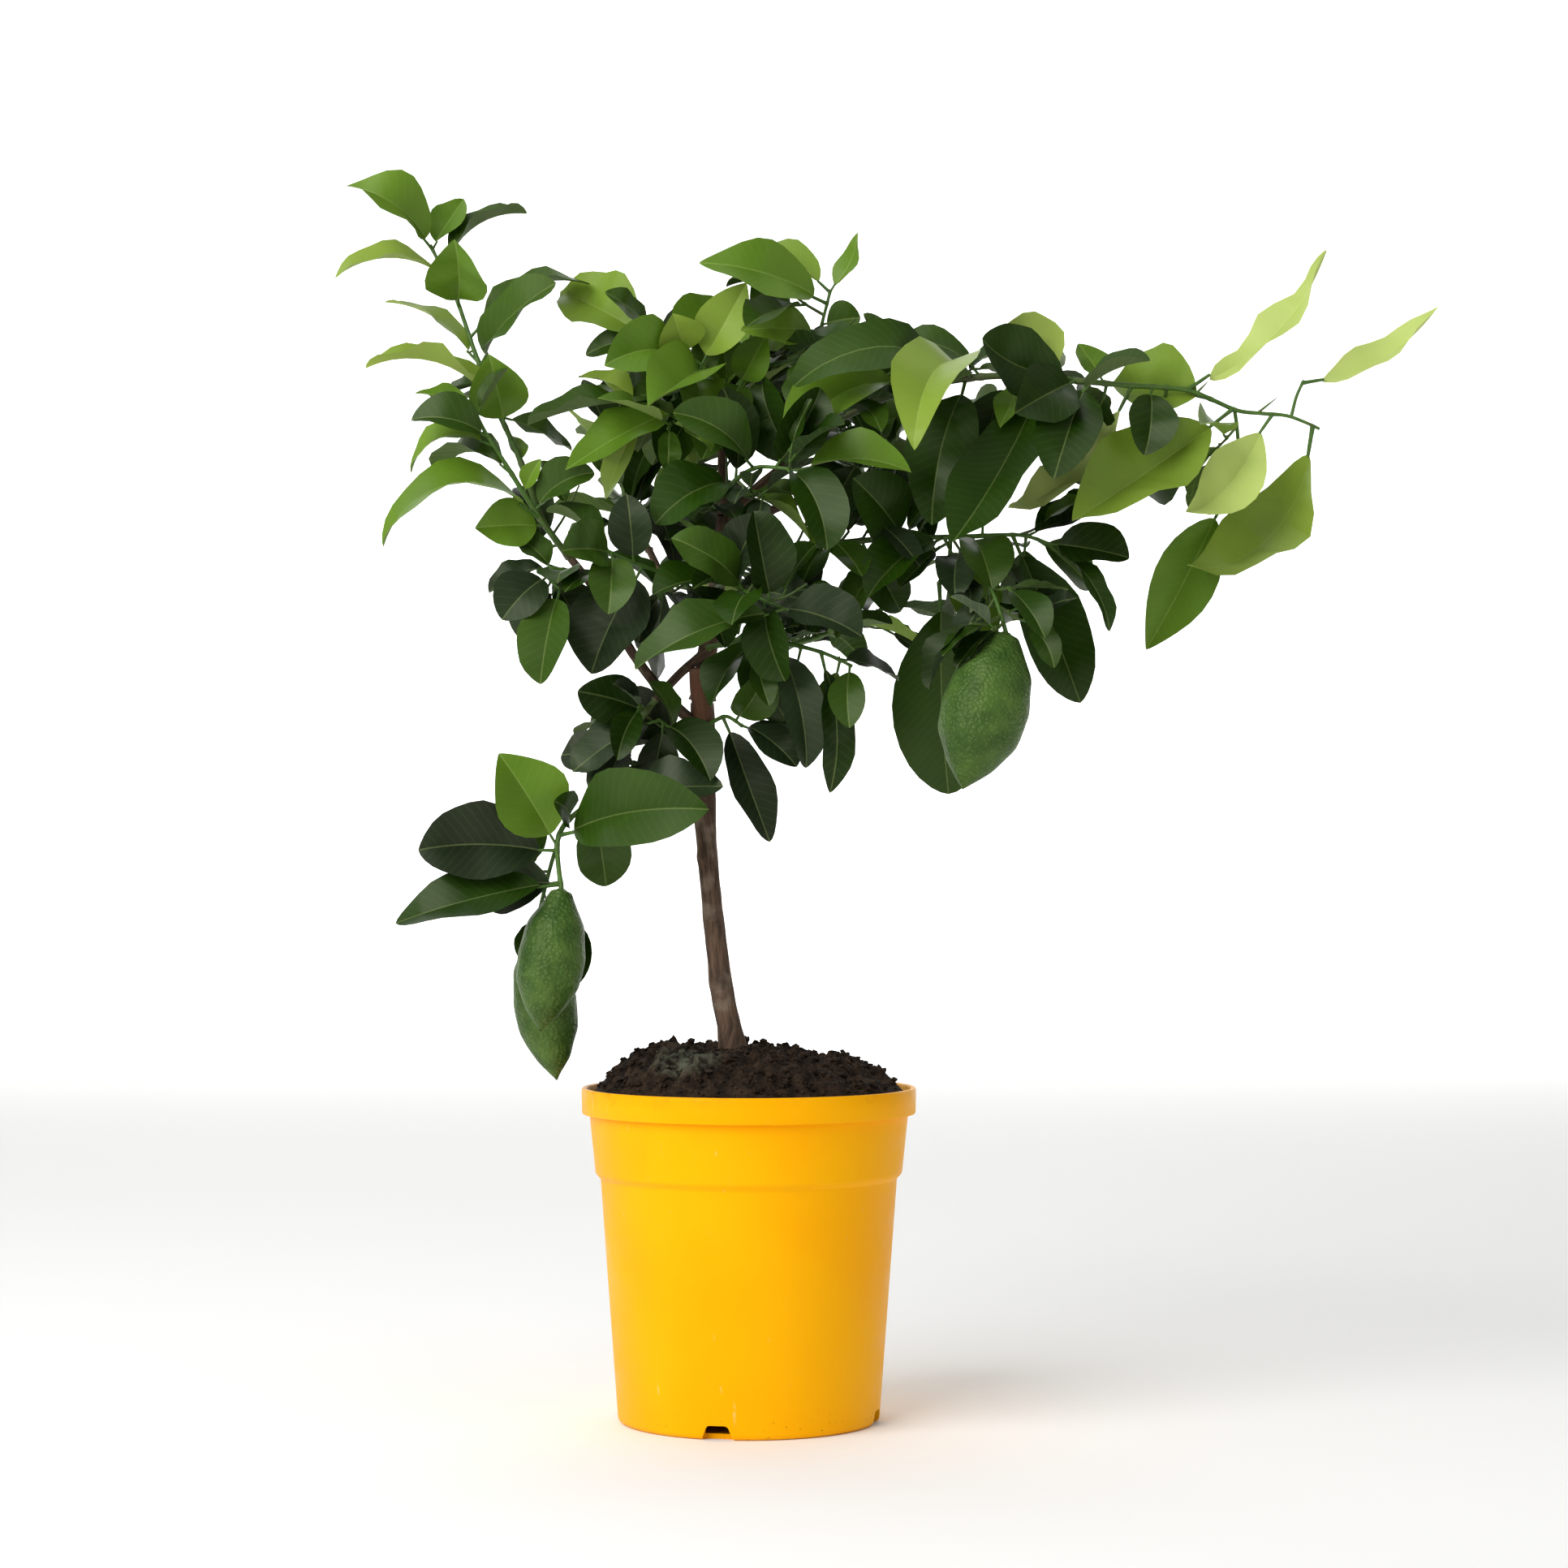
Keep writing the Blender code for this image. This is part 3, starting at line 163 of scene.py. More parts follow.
# Masses of foliage. Each shoot is (places, radius at each end, leaves), the first one the stem.
# A leaf is (share along the shoot, turn, toward, length, width, curl, face): turn is its heading
# in the front view, anticlockwise from the right; toward is how far it comes to the front;
# curl arches it, its tip bent away from its upper side; face is 0 where the upper side looks to the
# front and 90 where it looks up. All angles are in degrees.
SPRAYS = {
    "left_tall_spray": [
        ([(-108, -15, 516), (-124, -14, 538), (-138, -12, 575), (-151, -8, 604), (-166, -4, 642),
          (-176, 0, 671), (-192, 4, 704)], 2.1, 1.0, [
            (0.99, 148, 15, 69, 32, 50, 35), (1.0, 62, -25, 42, 21, 10, 30),
            (0.92, 32, -15, 68, 24, 60, 60), (0.90, 188, 10, 72, 24, 62, 65),
            (0.80, 88, 48, 52, 35, 15, 0), (0.70, 21, -8, 86, 28, 60, 55),
            (0.61, 39, 10, 80, 33, 35, 45), (0.62, 149, -15, 76, 22, 35, 60),
            (0.46, 168, 10, 95, 25, 80, 65), (0.50, 174, -30, 34, 16, 20, 60),
            (0.42, 101, 35, 50, 33, 15, 10), (0.56, 195, -40, 45, 22, 20, 60),
            (0.30, 110, -20, 26, 12, 0, 30), (0.45, 334, -15, 48, 25, 30, 50)]),
    ],
    "left_short_spray": [
        ([(-111, -19, 519), (-127, -26, 541), (-144, -30, 568), (-158, -34, 590), (-166, -35, 606)],
         1.9, 0.9, [
            (0.80, 171, 10, 52, 28, 60, 28), (0.74, 203, 16, 64, 24, 100, 65),
            (0.55, 175, -8, 64, 26, 120, 60), (0.24, 199, 10, 120, 38, 108, 58),
            (0.19, 184, 25, 43, 30, 30, 15), (1.0, 165, 10, 38, 18, 15, 40),
            (0.95, 60, -15, 34, 16, 15, 50), (0.42, 60, 20, 24, 12, 0, 30),
            (0.30, 28, 10, 46, 24, 45, 30)]),
    ],
    "left_hanging_spray": [
        ([(-100, -16, 505), (-112, -30, 508), (-122, -38, 506), (-113, -46, 496)], 1.7, 0.9, [
            (0.80, 242, -12, 40, 26, 20, 25), (1.0, 261, 18, 64, 32, 25, 15),
            (0.90, 249, -20, 44, 24, 15, 35), (0.35, 265, 40, 34, 26, 10, 10),
            (0.50, 140, -10, 34, 22, 20, 45), (0.70, 228, 22, 43, 32, 30, 20),
            (0.60, 276, -14, 40, 26, 20, 20)]),
    ],
    "low_left_spray": [
        ([(-56, -18, 430), (-70, -22, 411), (-86, -26, 380), (-93, -28, 370), (-108, -30, 358),
          (-115, -32, 343), (-112, -36, 314)], 2.0, 1.4, [
            (0.55, 6, 16, 86, 36, 20, 25), (0.74, 8, 32, 112, 46, 15, 20),
            (0.79, 122, 10, 66, 44, 10, 10), (0.66, 150, 36, 34, 22, 20, 40),
            (0.81, 180, 6, 82, 46, 12, 10), (0.96, 195, 16, 102, 38, 20, 40),
            (0.95, 222, -20, 48, 34, 30, 20), (0.52, 277, -15, 54, 33, 25, 20),
            (0.16, 255, 20, 54, 32, 45, 40), (0.30, 178, -15, 36, 28, 20, 15),
            (0.06, 165, 22, 46, 30, 30, 10)]),
        ([(-115, -31, 345), (-122, -10, 318), (-129, 0, 289)], 1.3, 1.2, []),
    ],
    "trunk_shoot_left": [
        ([(-30, -2, 398), (-42, -14, 408), (-54, -22, 418)], 1.5, 0.9, [
            (1.0, 214, 14, 64, 32, 45, 40), (0.85, 307, 24, 60, 30, 55, 25),
            (0.90, 262, -15, 46, 26, 45, -10), (0.60, 120, 22, 38, 22, 40, 50),
            (0.35, 142, -30, 54, 32, 30, 10)]),
    ],
    "trunk_shoot_right": [
        ([(-26, -2, 414), (-14, -18, 420), (-4, -30, 414)], 1.4, 0.9, [
            (0.45, 290, 10, 82, 27, 22, 20), (0.95, 320, 15, 46, 26, 45, 45),
            (0.80, 60, 25, 44, 26, 40, -10)]),
    ],
    "low_centre_spray": [
        ([(-24, 0, 462), (-5, -22, 464), (20, -36, 464), (45, -42, 458), (62, -44, 450)], 1.8, 0.9, [
            (0.80, 272, 5, 86, 22, 35, 35), (0.55, 281, 10, 80, 27, 50, 10),
            (0.68, 267, -18, 60, 26, 30, 45), (0.28, 302, 10, 58, 28, 45, -10),
            (1.0, 270, 10, 42, 22, 30, 20), (0.92, 264, -14, 56, 21, 40, 20),
            (0.90, 340, -30, 45, 24, 25, 60), (0.42, 238, 30, 62, 30, 45, 40),
            (0.62, 60, -10, 44, 24, 35, 50)]),
    ],
    "front_spray": [
        ([(-20, 5, 497), (-12, -28, 500), (0, -50, 494), (22, -66, 484)], 1.8, 0.9, [
            (1.0, 204, 8, 96, 34, 20, 32), (0.95, 338, 12, 54, 32, 20, 20),
            (0.22, 195, 35, 56, 30, 45, 40), (0.40, 345, 25, 60, 30, 36, 12),
            (0.85, 101, 15, 58, 32, 45, 20), (0.50, 62, 24, 52, 28, 35, 35),
            (0.60, 148, 22, 60, 30, 60, 28), (0.70, 252, 30, 54, 28, 50, 35),
            (0.80, 300, 25, 54, 28, 45, -15)]),
    ],
    "upper_front_spray": [
        ([(-16, 5, 552), (-8, -24, 562), (6, -42, 570), (30, -56, 568)], 1.8, 0.9, [
            (0.15, 322, 10, 68, 18, 40, 55), (1.0, 355, 8, 70, 30, 35, 50),
            (0.80, 60, 15, 58, 28, 40, -10), (0.60, 150, 20, 64, 30, 45, 35),
            (0.28, 213, 20, 64, 36, 60, 25), (0.90, 292, 20, 66, 32, 50, 30),
            (0.35, 100, 15, 58, 28, 40, 40)]),
    ],
    "inner_left_spray": [
        ([(-22, 2, 488), (-45, -20, 503), (-68, -34, 512), (-86, -44, 520)], 1.7, 0.9, [
            (0.68, 246, 12, 74, 50, 15, 10), (0.95, 183, 40, 38, 30, 15, 5),
            (1.0, 150, 10, 46, 26, 45, 60), (0.75, 95, 20, 44, 26, 40, -10),
            (0.40, 110, -10, 50, 26, 40, 50), (0.30, 300, 20, 54, 28, 50, 35),
            (0.95, 268, 22, 46, 28, 45, -15), (0.45, 265, -20, 68, 34, 40, 40)]),
    ],
    "centre_left_spray": [
        ([(-17, 3, 604), (-21, 0, 620), (-32, -6, 634), (-61, -10, 647)], 1.5, 0.9, [
            (0.60, 192, 20, 58, 34, 40, 25), (0.45, 60, 10, 57, 30, 10, 15),
            (0.62, 122, 30, 30, 28, 15, 10), (0.70, 60, -25, 50, 27, 20, 20),
            (0.40, 224, 35, 72, 38, 35, 15), (1.0, 149, -16, 74, 40, 30, 25),
            (0.95, 192, 0, 42, 18, 20, 35)]),
        ([(-18, 2, 615), (-44, -14, 604), (-66, -22, 610)], 1.3, 0.9, [
            (0.45, 212, 20, 88, 30, 25, 35), (1.0, 195, 8, 70, 26, 30, 60),
            (0.90, 225, -30, 48, 26, 20, 45), (1.0, 160, -10, 42, 22, 20, 45),
            (0.25, 243, 25, 48, 28, 15, 15), (0.90, 243, -28, 76, 19, 20, 30)]),
    ],
    "centre_right_spray": [
        ([(-13, 6, 604), (-6, 9, 620), (6, 9, 630), (25, 4, 634), (40, 0, 642), (44, -2, 657),
          (49, -4, 677)], 1.5, 0.9, [
            (0.92, 167, 16, 87, 36, 30, 25), (0.99, 154, -14, 72, 28, 55, 42),
            (1.0, 66, 5, 40, 17, -20, 45), (0.80, 8, 10, 24, 22, 10, 15),
            (0.76, 184, 25, 54, 27, 20, 25), (0.20, 29, -20, 44, 24, 35, 50),
            (0.16, 60, 20, 38, 22, 30, -10), (0.32, 10, 25, 36, 24, 35, 40),
            (0.22, 246, 33, 74, 34, 20, 15), (0.34, 262, 34, 72, 32, 50, 40),
            (0.50, 350, 30, 66, 30, 40, 55), (0.60, 335, -20, 58, 28, 40, 10),
            (0.55, 18, -32, 42, 26, 20, 30), (0.74, 204, -22, 46, 30, 30, 15)]),
    ],
    "right_long_spray": [
        ([(50, -8, 597), (85, -10, 613), (127, -16, 623), (163, -20, 625), (197, -22, 622),
          (231, -22, 619), (265, -20, 616), (294, -18, 604), (323, -16, 601), (343, -14, 593)],
         2.5, 0.9, [
            (0.23, 191, 20, 122, 36, 90, 40), (0.17, 218, 22, 112, 38, 92, 36),
            (0.29, 240, 14, 120, 42, 105, 26), (0.31, 164, 10, 62, 24, 85, 45),
            (0.505, 161, 14, 76, 44, -42, 15), (0.50, 213, 42, 66, 38, 20, 15),
            (0.555, 121, -20, 31, 22, 10, 30), (0.28, 257, 14, 99, 43, 15, 10),
            (0.37, 261, -15, 72, 34, 30, 35), (0.44, 240, 30, 138, 44, -10, 30),
            (0.61, 222, 20, 121, 30, -68, 40), (0.56, 262, -28, 74, 38, 20, 10),
            (0.82, 215, 16, 134, 50, -30, 12), (0.77, 168, -15, 62, 42, 15, 15),
            (0.90, 226, 26, 98, 34, -55, 20), (1.0, 222, 10, 142, 50, -114, 45),
            (0.72, 48, 8, 124, 24, -38, 45), (0.46, 150, -18, 62, 28, 110, 112),
            (0.40, 290, -40, 82, 36, 40, 50), (0.68, 262, -38, 86, 38, 45, 0),
            (0.20, 280, -45, 78, 34, 40, 45), (0.65, 262, -12, 46, 30, 15, 0),
            (0.52, 250, 4, 84, 38, 15, 5)]),
        ([(292, -18, 605), (294, 0, 577), (286, 16, 550)], 1.2, 0.9, [
            (1.0, 243, -4, 104, 36, 10, 10)]),
        ([(326, -16, 600), (329, -18, 612), (333, -20, 621)], 1.1, 0.9, [
            (1.0, 33, 5, 101, 27, -60, 45)]),
    ],
    "right_low_spray": [
        ([(18, 0, 520), (52, -4, 524), (85, -8, 527), (129, -14, 528), (163, -12, 529),
          (182, -10, 523)], 2.3, 0.9, [
            (0.42, 242, 22, 78, 24, 20, 45), (1.0, 348, 10, 50, 34, 15, 22),
            (0.85, 292, -5, 109, 40, 8, 10), (0.70, 285, 30, 52, 33, 30, 20),
            (0.60, 222, 10, 74, 30, 30, 30), (0.50, 205, -12, 56, 30, 40, -10),
            (1.0, 301, 12, 68, 16, 35, 50), (0.60, 287, -25, 80, 36, 30, 35),
            (0.90, 262, -30, 64, 34, 40, -10), (0.90, 20, -30, 56, 26, 20, 40),
            (0.74, 70, 12, 48, 26, 45, 50), (0.12, 62, 15, 58, 30, 45, -15),
            (0.22, 35, 20, 66, 30, 40, 50), (0.45, 128, 12, 62, 40, 30, 10),
            (0.45, 50, 20, 64, 30, 50, 45), (0.16, 262, 20, 60, 30, 50, 40),
            (0.30, 300, -10, 52, 26, 45, -10), (0.94, 322, -22, 52, 28, 20, 30)]),
        ([(121, -13, 528), (120, -11, 514), (114, -9, 500)], 1.3, 1.0, [
            (1.0, 273, -2, 130, 63, 8, 5)]),
        ([(131, -14, 528), (141, -34, 508), (149, -48, 488), (155, -54, 468)], 1.4, 1.3, []),
    ],
}

# Shoots on the far side, whose leaves follow the spiral rule: places, radius at each end, leaf count
BACK_SPRAYS = {
    "back_left_spray": [
        ([(-60, 84, 520), (-74, 112, 548), (-78, 132, 584)], 1.9, 0.9, 9),
        ([(-70, 105, 540), (-48, 130, 556), (-30, 148, 580)], 1.2, 0.8, 6),
    ],
    "back_right_spray": [
        ([(52, 89, 556), (86, 108, 572), (120, 122, 580)], 1.9, 0.9, 9),
        ([(74, 102, 567), (66, 132, 582), (58, 150, 604)], 1.2, 0.8, 6),
    ],
    "back_low_spray": [
        ([(20, 81, 462), (48, 104, 470), (84, 120, 486)], 1.8, 0.9, 8),
        ([(34, 93, 466), (16, 120, 474), (-4, 140, 486)], 1.2, 0.8, 6),
    ],
    "back_top_spray": [
        ([(-16, 7, 585), (-6, 40, 606), (10, 72, 630)], 1.7, 0.9, 8),
        ([(-12, 25, 597), (-34, 52, 612), (-50, 74, 630)], 1.2, 0.8, 6),
    ],
    "back_middle_spray": [
        ([(-21, 12, 500), (-20, 50, 510), (-16, 90, 524)], 1.7, 0.9, 8),
    ],
}

# Fruits: the shoot that each hangs from, its lower tip, its greatest radius
FRUITS = [
    ("low_left_spray", 0, (-125, -44, 231), 20.2),
    ("low_left_spray", 1, (-115, 0, 202), 19.2),
    ("right_low_spray", 2, (128, -60, 376), 26.2),
]
# Half-width of a fruit along its length, as shares of its greatest radius
FRUIT_PROFILE = [(0.01, 0.30), (0.08, 0.45), (0.24, 0.84), (0.46, 1.0), (0.67, 0.92), (0.85, 0.54),
                 (0.94, 0.22)]

# %% [markdown]
# ## How old each leaf is, with painted light
# New citrus leaves are yellow-green and soft, and they turn a deep, glossy green within a season.
# That is the strongest colour pattern on the tree: pale leaves on the long shoot on the right,
# fresh ones at the tips, and old dark ones inside the crown. The young greens are painted lighter
# still, as a painted glow of the light that shines through thin leaves. The letter g is no age: its
# grey-green is partly dust and partly painted sheen and painted shade. So each shoot gets a word
# with one letter for each of its leaves, from the list of tones below, in the order of the plan.

# %% Tones of the leaves, shoot by shoot: ages, and painted light
AGES = {
    "left_tall_spray": ["ffmlfmmllmfmfm"],
    "left_short_spray": ["mfmfffmfm"],
    "left_hanging_spray": ["gmgmmgd"],
    "low_left_spray": ["gmfmgdgmggd", ""],
    "trunk_shoot_left": ["gddmg"],
    "trunk_shoot_right": ["ggm"],
    "low_centre_spray": ["dgddmmgdd"],
    "front_spray": ["mgdgdgmdd"],
    "upper_front_spray": ["ffdmddd"],
    "inner_left_spray": ["gmmggdmg"],
    "centre_left_spray": ["fllfflm", "fmmldl"],
    "centre_right_spray": ["flfmfmfdmddmdf"],
    "right_long_spray": ["mflmddfdddpdllplplddddd", "f", "p"],
    "right_low_spray": ["mddmdddfmddddddddm", "m", ""],
}
BACK_AGES = "dmdmf"       # the far side's leaves take these in turn

# %% [markdown]
# ## Growing the tree
# The shoots and leaves are grown by the rule that the solids follow, so that they come out in the
# same places: a branch starts where it is clear of what bears it, and a leaf that would touch its
# neighbours leans to the front or back a little, or is left out. A plain closed shape stands for
# each leaf while this is worked out, and the fine leaf takes its place afterwards.

# %% Paths, plain shapes and the test for touching
def smooth_path(places, steps):
    """Points on one curve through the places, with so many steps between two of them."""
    points = [Vector(p) for p in places]
    ends = [points[0] * 2 - points[1]] + points + [points[-1] * 2 - points[-2]]
    curve = []
    for i in range(1, len(ends) - 2):
        before, start, end, after = ends[i - 1:i + 3]
        for step in range(steps):
            t = step / steps
            curve.append(0.5 * (2 * start + (end - before) * t
                                + (2 * before - 5 * start + 4 * end - after) * t ** 2
                                + (3 * (start - end) + after - before) * t ** 3))
    return curve + [points[-1]]


def planned_path(places):
    """The curve through places of the plan."""
    return smooth_path([spot(*p) for p in places], PATH_STEPS)


def stretches(path):
    """The lengths from point to point of a path."""
    return [(b - a).length for a, b in zip(path, path[1:])]


def turning(degrees, axis):
    """The matrix that turns a vector by an angle about an axis."""
    return Matrix.Rotation(math.radians(degrees), 3, axis)


def along_path(path, share):
    """The point at a share of a path's length, and the path's direction there."""
    lengths = stretches(path)
    left = share * sum(lengths)
    for a, b, length in zip(path, path[1:], lengths):
        if left <= length:
            return a.lerp(b, left / length), (b - a).normalized()
        left -= length
    return path[-1].copy(), (path[-1] - path[-2]).normalized()


def nearest_on_path(path, place):
    """The point of a path's middle line that lies nearest to a place."""
    best = path[0]
    for a, b in zip(path, path[1:]):
        point, share = intersect_point_line(place, a, b)
        point = a.lerp(b, min(max(share, 0.0), 1.0))
        if (point - place).length < (best - place).length:
            best = point
    return best


def cut_start(path, distance):
    """The path without its first stretch of that length."""
    lengths = stretches(path)
    start, _ = along_path(path, distance / sum(lengths))
    walked = 0.0
    for i, length in enumerate(lengths):
        walked += length
        if walked > distance + START_KEPT:
            return [start] + path[i + 1:]
    return path[-2:]


def tube_shape(path, radii, sides):
    """Corners and faces of a closed tube along a path."""
    corners, faces = [], []
    side = (path[1] - path[0]).orthogonal().normalized()
    last = len(path) - 1
    for i, (point, radius) in enumerate(zip(path, radii)):
        ahead = (path[min(i + 1, last)] - path[max(i - 1, 0)]).normalized()
        side = (side - ahead * side.dot(ahead)).normalized()
        other = ahead.cross(side)
        for k in range(sides):
            angle = 2 * math.pi * k / sides
            corners.append(point + (side * math.cos(angle) + other * math.sin(angle)) * radius)
    for i in range(last):
        for k in range(sides):
            a, b = i * sides + k, i * sides + (k + 1) % sides
            faces.append((a, b, b + sides, a + sides))
    faces.append(tuple(reversed(range(sides))))
    faces.append(tuple(range(last * sides, (last + 1) * sides)))
    return corners, faces


def leaf_headings(turn, toward, face):
    """Unit vectors along a leaf and out of its upper side, from the plan's three angles."""
    turn, toward, face = (math.radians(a) for a in (turn, toward, face))
    ahead = Vector((math.cos(turn) * math.cos(toward), -math.sin(toward),
                    math.sin(turn) * math.cos(toward)))
    front = Vector((0, -1, 0))
    front = (front - ahead * front.dot(ahead)).normalized()
    upper = ahead.cross(front)
    if upper.z < 0:
        upper.negate()
    return ahead, (front * math.cos(face) + upper * math.sin(face)).normalized()


def leaf_shape(root, ahead, normal, length, width, curl, swell=0.0):
    """Corners and faces of one closed leaf: a petiole, folded blade sections and a tip."""
    petiole = length * PETIOLE_SHARE
    width *= FACET_ALLOWANCE
    sections = LONG_SECTIONS if length > LONG_LEAF else SHORT_SECTIONS
    across = ahead.cross(normal)
    raised = turning(curl / 2, across)
    ahead, normal = raised @ ahead, raised @ normal
    thick = LEAF_THICKNESS / 2 + swell
    corners = [root.copy()]
    point = root + ahead * petiole
    neck = PETIOLE_RADIUS + swell
    for out, up in ((-1, 0), (0, 1), (1, 0), (0, -1)):
        corners.append(point + across * (out * neck) + normal * (up * neck))
    walked = 0.0
    heading, up_side = ahead, normal
    blade = length - petiole
    for share in (*sections, 1.0):
        turned = turning(-curl * (share + walked) / 2, across)
        point = point + (turned @ ahead) * (blade * (share - walked))
        walked = share
        bent = turning(-curl * share, across)
        heading, up_side = bent @ ahead, bent @ normal
        if share < 1.0:
            half = width / 2 * sections[share] + swell
            lift = up_side * half * math.tan(math.radians(LEAF_FOLD))
            corners.append(point - across * half + lift)
            corners.append(point + up_side * thick)
            corners.append(point + across * half + lift)
            corners.append(point - up_side * thick)
    corners.append(point + heading * swell)
    rings = (len(corners) - 2) // 4
    faces = []
    for k in range(4):
        following = (k + 1) % 4
        faces.append((0, 1 + following, 1 + k))
        for ring in range(rings - 1):
            a, b = 1 + ring * 4 + k, 1 + ring * 4 + following
            faces.append((a, b, b + 4))
            faces.append((a, b + 4, a + 4))
        a, b = 1 + (rings - 1) * 4 + k, 1 + (rings - 1) * 4 + following
        faces.append((a, b, len(corners) - 1))
    return corners, faces


def fruit_shape(top, tip, radius):
    """Corners and faces of one closed lemon, from its stalk end to its nipple."""
    axis = tip - top
    side = axis.orthogonal().normalized()
    other = axis.normalized().cross(side)
    corners = [top.copy()]
    for share, half in FRUIT_PROFILE:
        for k in range(LIMB_SIDES):
            angle = 2 * math.pi * k / LIMB_SIDES
            out = side * math.cos(angle) + other * math.sin(angle)
            corners.append(top + axis * share + out * (half * radius))
    corners.append(tip.copy())
    faces = []
    rings = len(FRUIT_PROFILE)
    for k in range(LIMB_SIDES):
        following = (k + 1) % LIMB_SIDES
        faces.append((0, 1 + following, 1 + k))
        for ring in range(rings - 1):
            a, b = 1 + ring * LIMB_SIDES + k, 1 + ring * LIMB_SIDES + following
            faces.append((a, b, b + LIMB_SIDES, a + LIMB_SIDES))
        a, b = 1 + (rings - 1) * LIMB_SIDES + k, 1 + (rings - 1) * LIMB_SIDES + following
        faces.append((a, b, len(corners) - 1))
    return corners, faces


class Thing:
    """A placed shape that later ones must stay clear of."""

    def __init__(self, owner, shape):
        corners, faces = shape
        self.owner = owner
        self.tree = BVHTree.FromPolygons(corners, faces)
        self.low = Vector([min(c[i] for c in corners) for i in range(3)])
        self.high = Vector([max(c[i] for c in corners) for i in range(3)])

    def touches(self, other):
        """Whether the surfaces of two things meet; far ones are told apart by their boxes."""
        for i in range(3):
            if self.low[i] > other.high[i] or other.low[i] > self.high[i]:
                return False
        return bool(self.tree.overlap(other.tree))


def blade_only(shape):
    """A leaf's shape without its root and petiole, to test it against its own twig."""
    corners, faces = shape
    return corners[1:], [tuple(c - 1 for c in f) for f in faces if 0 not in f]


def inside(point, thing):
    """Whether a point lies within a closed thing."""
    if any(point[i] < thing.low[i] or point[i] > thing.high[i] for i in range(3)):
        return False
    hit, normal, _, _ = thing.tree.find_nearest(point)
    return (point - hit).dot(normal) < 0


def clear_start(path, radius, things):
    """The path, cut at its start until a flat end of that radius is clear of the things."""
    for step in range(START_TRIES):
        trimmed = cut_start(path, step * START_STEP) if step else path
        ahead = (trimmed[1] - trimmed[0]).normalized()
        back = trimmed[0] - ahead * GAP
        reach = radius + GAP
        plug = tube_shape([back, trimmed[0] + ahead * START_LENGTH], [reach, reach], LIMB_SIDES)
        probe = Thing("", plug)
        if not any(probe.touches(thing) or inside(back, thing) for thing in things):
            return trimmed
    return trimmed


def settle(owner, root, ahead, normal, length, width, curl, things, turns=TURNS):
    """A leaf's place, leaned a little where it would touch another leaf or limb, or None."""
    front = Vector((0, -1, 0))
    hinge = ahead.cross(front).normalized()
    for turn, lean in itertools.product(turns, LEANS):
        bend = turning(turn, front) @ turning(lean, hinge)
        turned = (bend @ ahead, bend @ normal)
        grown = leaf_shape(root, *turned, length, width, curl, GAP)
        whole = Thing(owner, grown)
        blade = Thing(owner, blade_only(grown))
        if not any((blade if thing.owner == owner else whole).touches(thing) for thing in things):
            things.append(whole)
            return (root, *turned, length, width, curl)
    return None


def spiral_leaves(path, count, chance):
    """Leaves that follow a shoot's spiral rule: root, heading, upper side, length, width, curl."""
    leaves = []
    for k in range(count):
        share = SPIRAL_FIRST + (1 - SPIRAL_FIRST) * k / (count - 1)
        root, ahead = along_path(path, share)
        side = turning(SPIRAL_ANGLE * k, ahead) @ ahead.orthogonal()
        waver = chance.uniform(-SPIRAL_WAVER, SPIRAL_WAVER)
        spread = math.radians(SPIRAL_SPREAD - SPIRAL_CLOSING * share + waver)
        heading = (ahead * math.cos(spread) + side.normalized() * math.sin(spread)).normalized()
        heading = (heading + Vector((0, 0, -SPIRAL_DROOP))).normalized()
        sky = Vector((0, 0, 1)) + side.normalized() * SPIRAL_TILT
        normal = (sky - heading * sky.dot(heading)).normalized()
        length = chance.uniform(*SPIRAL_LENGTHS)
        width = length * chance.uniform(*SPIRAL_WIDTHS)
        leaves.append((root, heading, normal, length, width, chance.uniform(*SPIRAL_CURLS)))
    return leaves

# %% Grow the trunk, the boughs and the shoots
def tapered(path, start_radius, end_radius):
    """One radius for each point of a path, from the first to the last."""
    last = len(path) - 1
    return [start_radius + (end_radius - start_radius) * i / last for i in range(last + 1)]


things = []
trunk_path = planned_path(TRUNK_PATH)
steps = range(len(trunk_path))
trunk_radii = list(np.interp(steps, steps[::PATH_STEPS], TRUNK_RADII))
things.append(Thing("trunk", tube_shape(trunk_path, trunk_radii, LIMB_SIDES)))
limb_paths = {"trunk": trunk_path}
for name, (places, start_radius, end_radius) in LIMBS.items():
    limb_paths[name] = planned_path(places)
    path = clear_start(limb_paths[name], start_radius, things)
    radii = tapered(path, start_radius, end_radius)
    things.append(Thing(name, tube_shape(path, radii, LIMB_SIDES)))

shoot_paths = {}
for name, shoots in {**SPRAYS, **BACK_SPRAYS}.items():
    shoot_paths[name] = []
    for places, start_radius, end_radius, _ in shoots:
        path = planned_path(places)
        if shoot_paths[name]:
            path[0] = nearest_on_path(shoot_paths[name][0], path[0])
        else:
            path = clear_start(path, start_radius, things)
        shoot_paths[name].append(path)
    for path, (_, start_radius, end_radius, _) in zip(shoot_paths[name], shoots):
        radii = tapered(path, start_radius, end_radius)
        things.append(Thing(name, tube_shape(path, radii, TWIG_SIDES)))
print("limbs:", len(limb_paths), "shoots:", sum(len(paths) for paths in shoot_paths.values()))

# %% Grow the fruits and the planned leaves
fruit_places = []
for name, shoot, tip, radius in FRUITS:
    top = shoot_paths[name][shoot][-1]
    ahead = (top - shoot_paths[name][shoot][-2]).normalized()
    fruit_places.append((top - ahead * STALK_SINK, spot(*tip), radius))
    things.append(Thing(name, fruit_shape(*fruit_places[-1])))

leaves = []
for name, shoots in SPRAYS.items():
    for path, (_, _, _, plan), ages in zip(shoot_paths[name], shoots, AGES[name]):
        for (share, turn, toward, length, width, curl, face), age in zip(plan, ages):
            root, _ = along_path(path, min(share, LAST_ROOT))
            ahead, normal = leaf_headings(turn, toward, face)
            place = settle(name, root, ahead, normal, length, width, curl, things)
            if place:
                leaves.append((name, age, place))

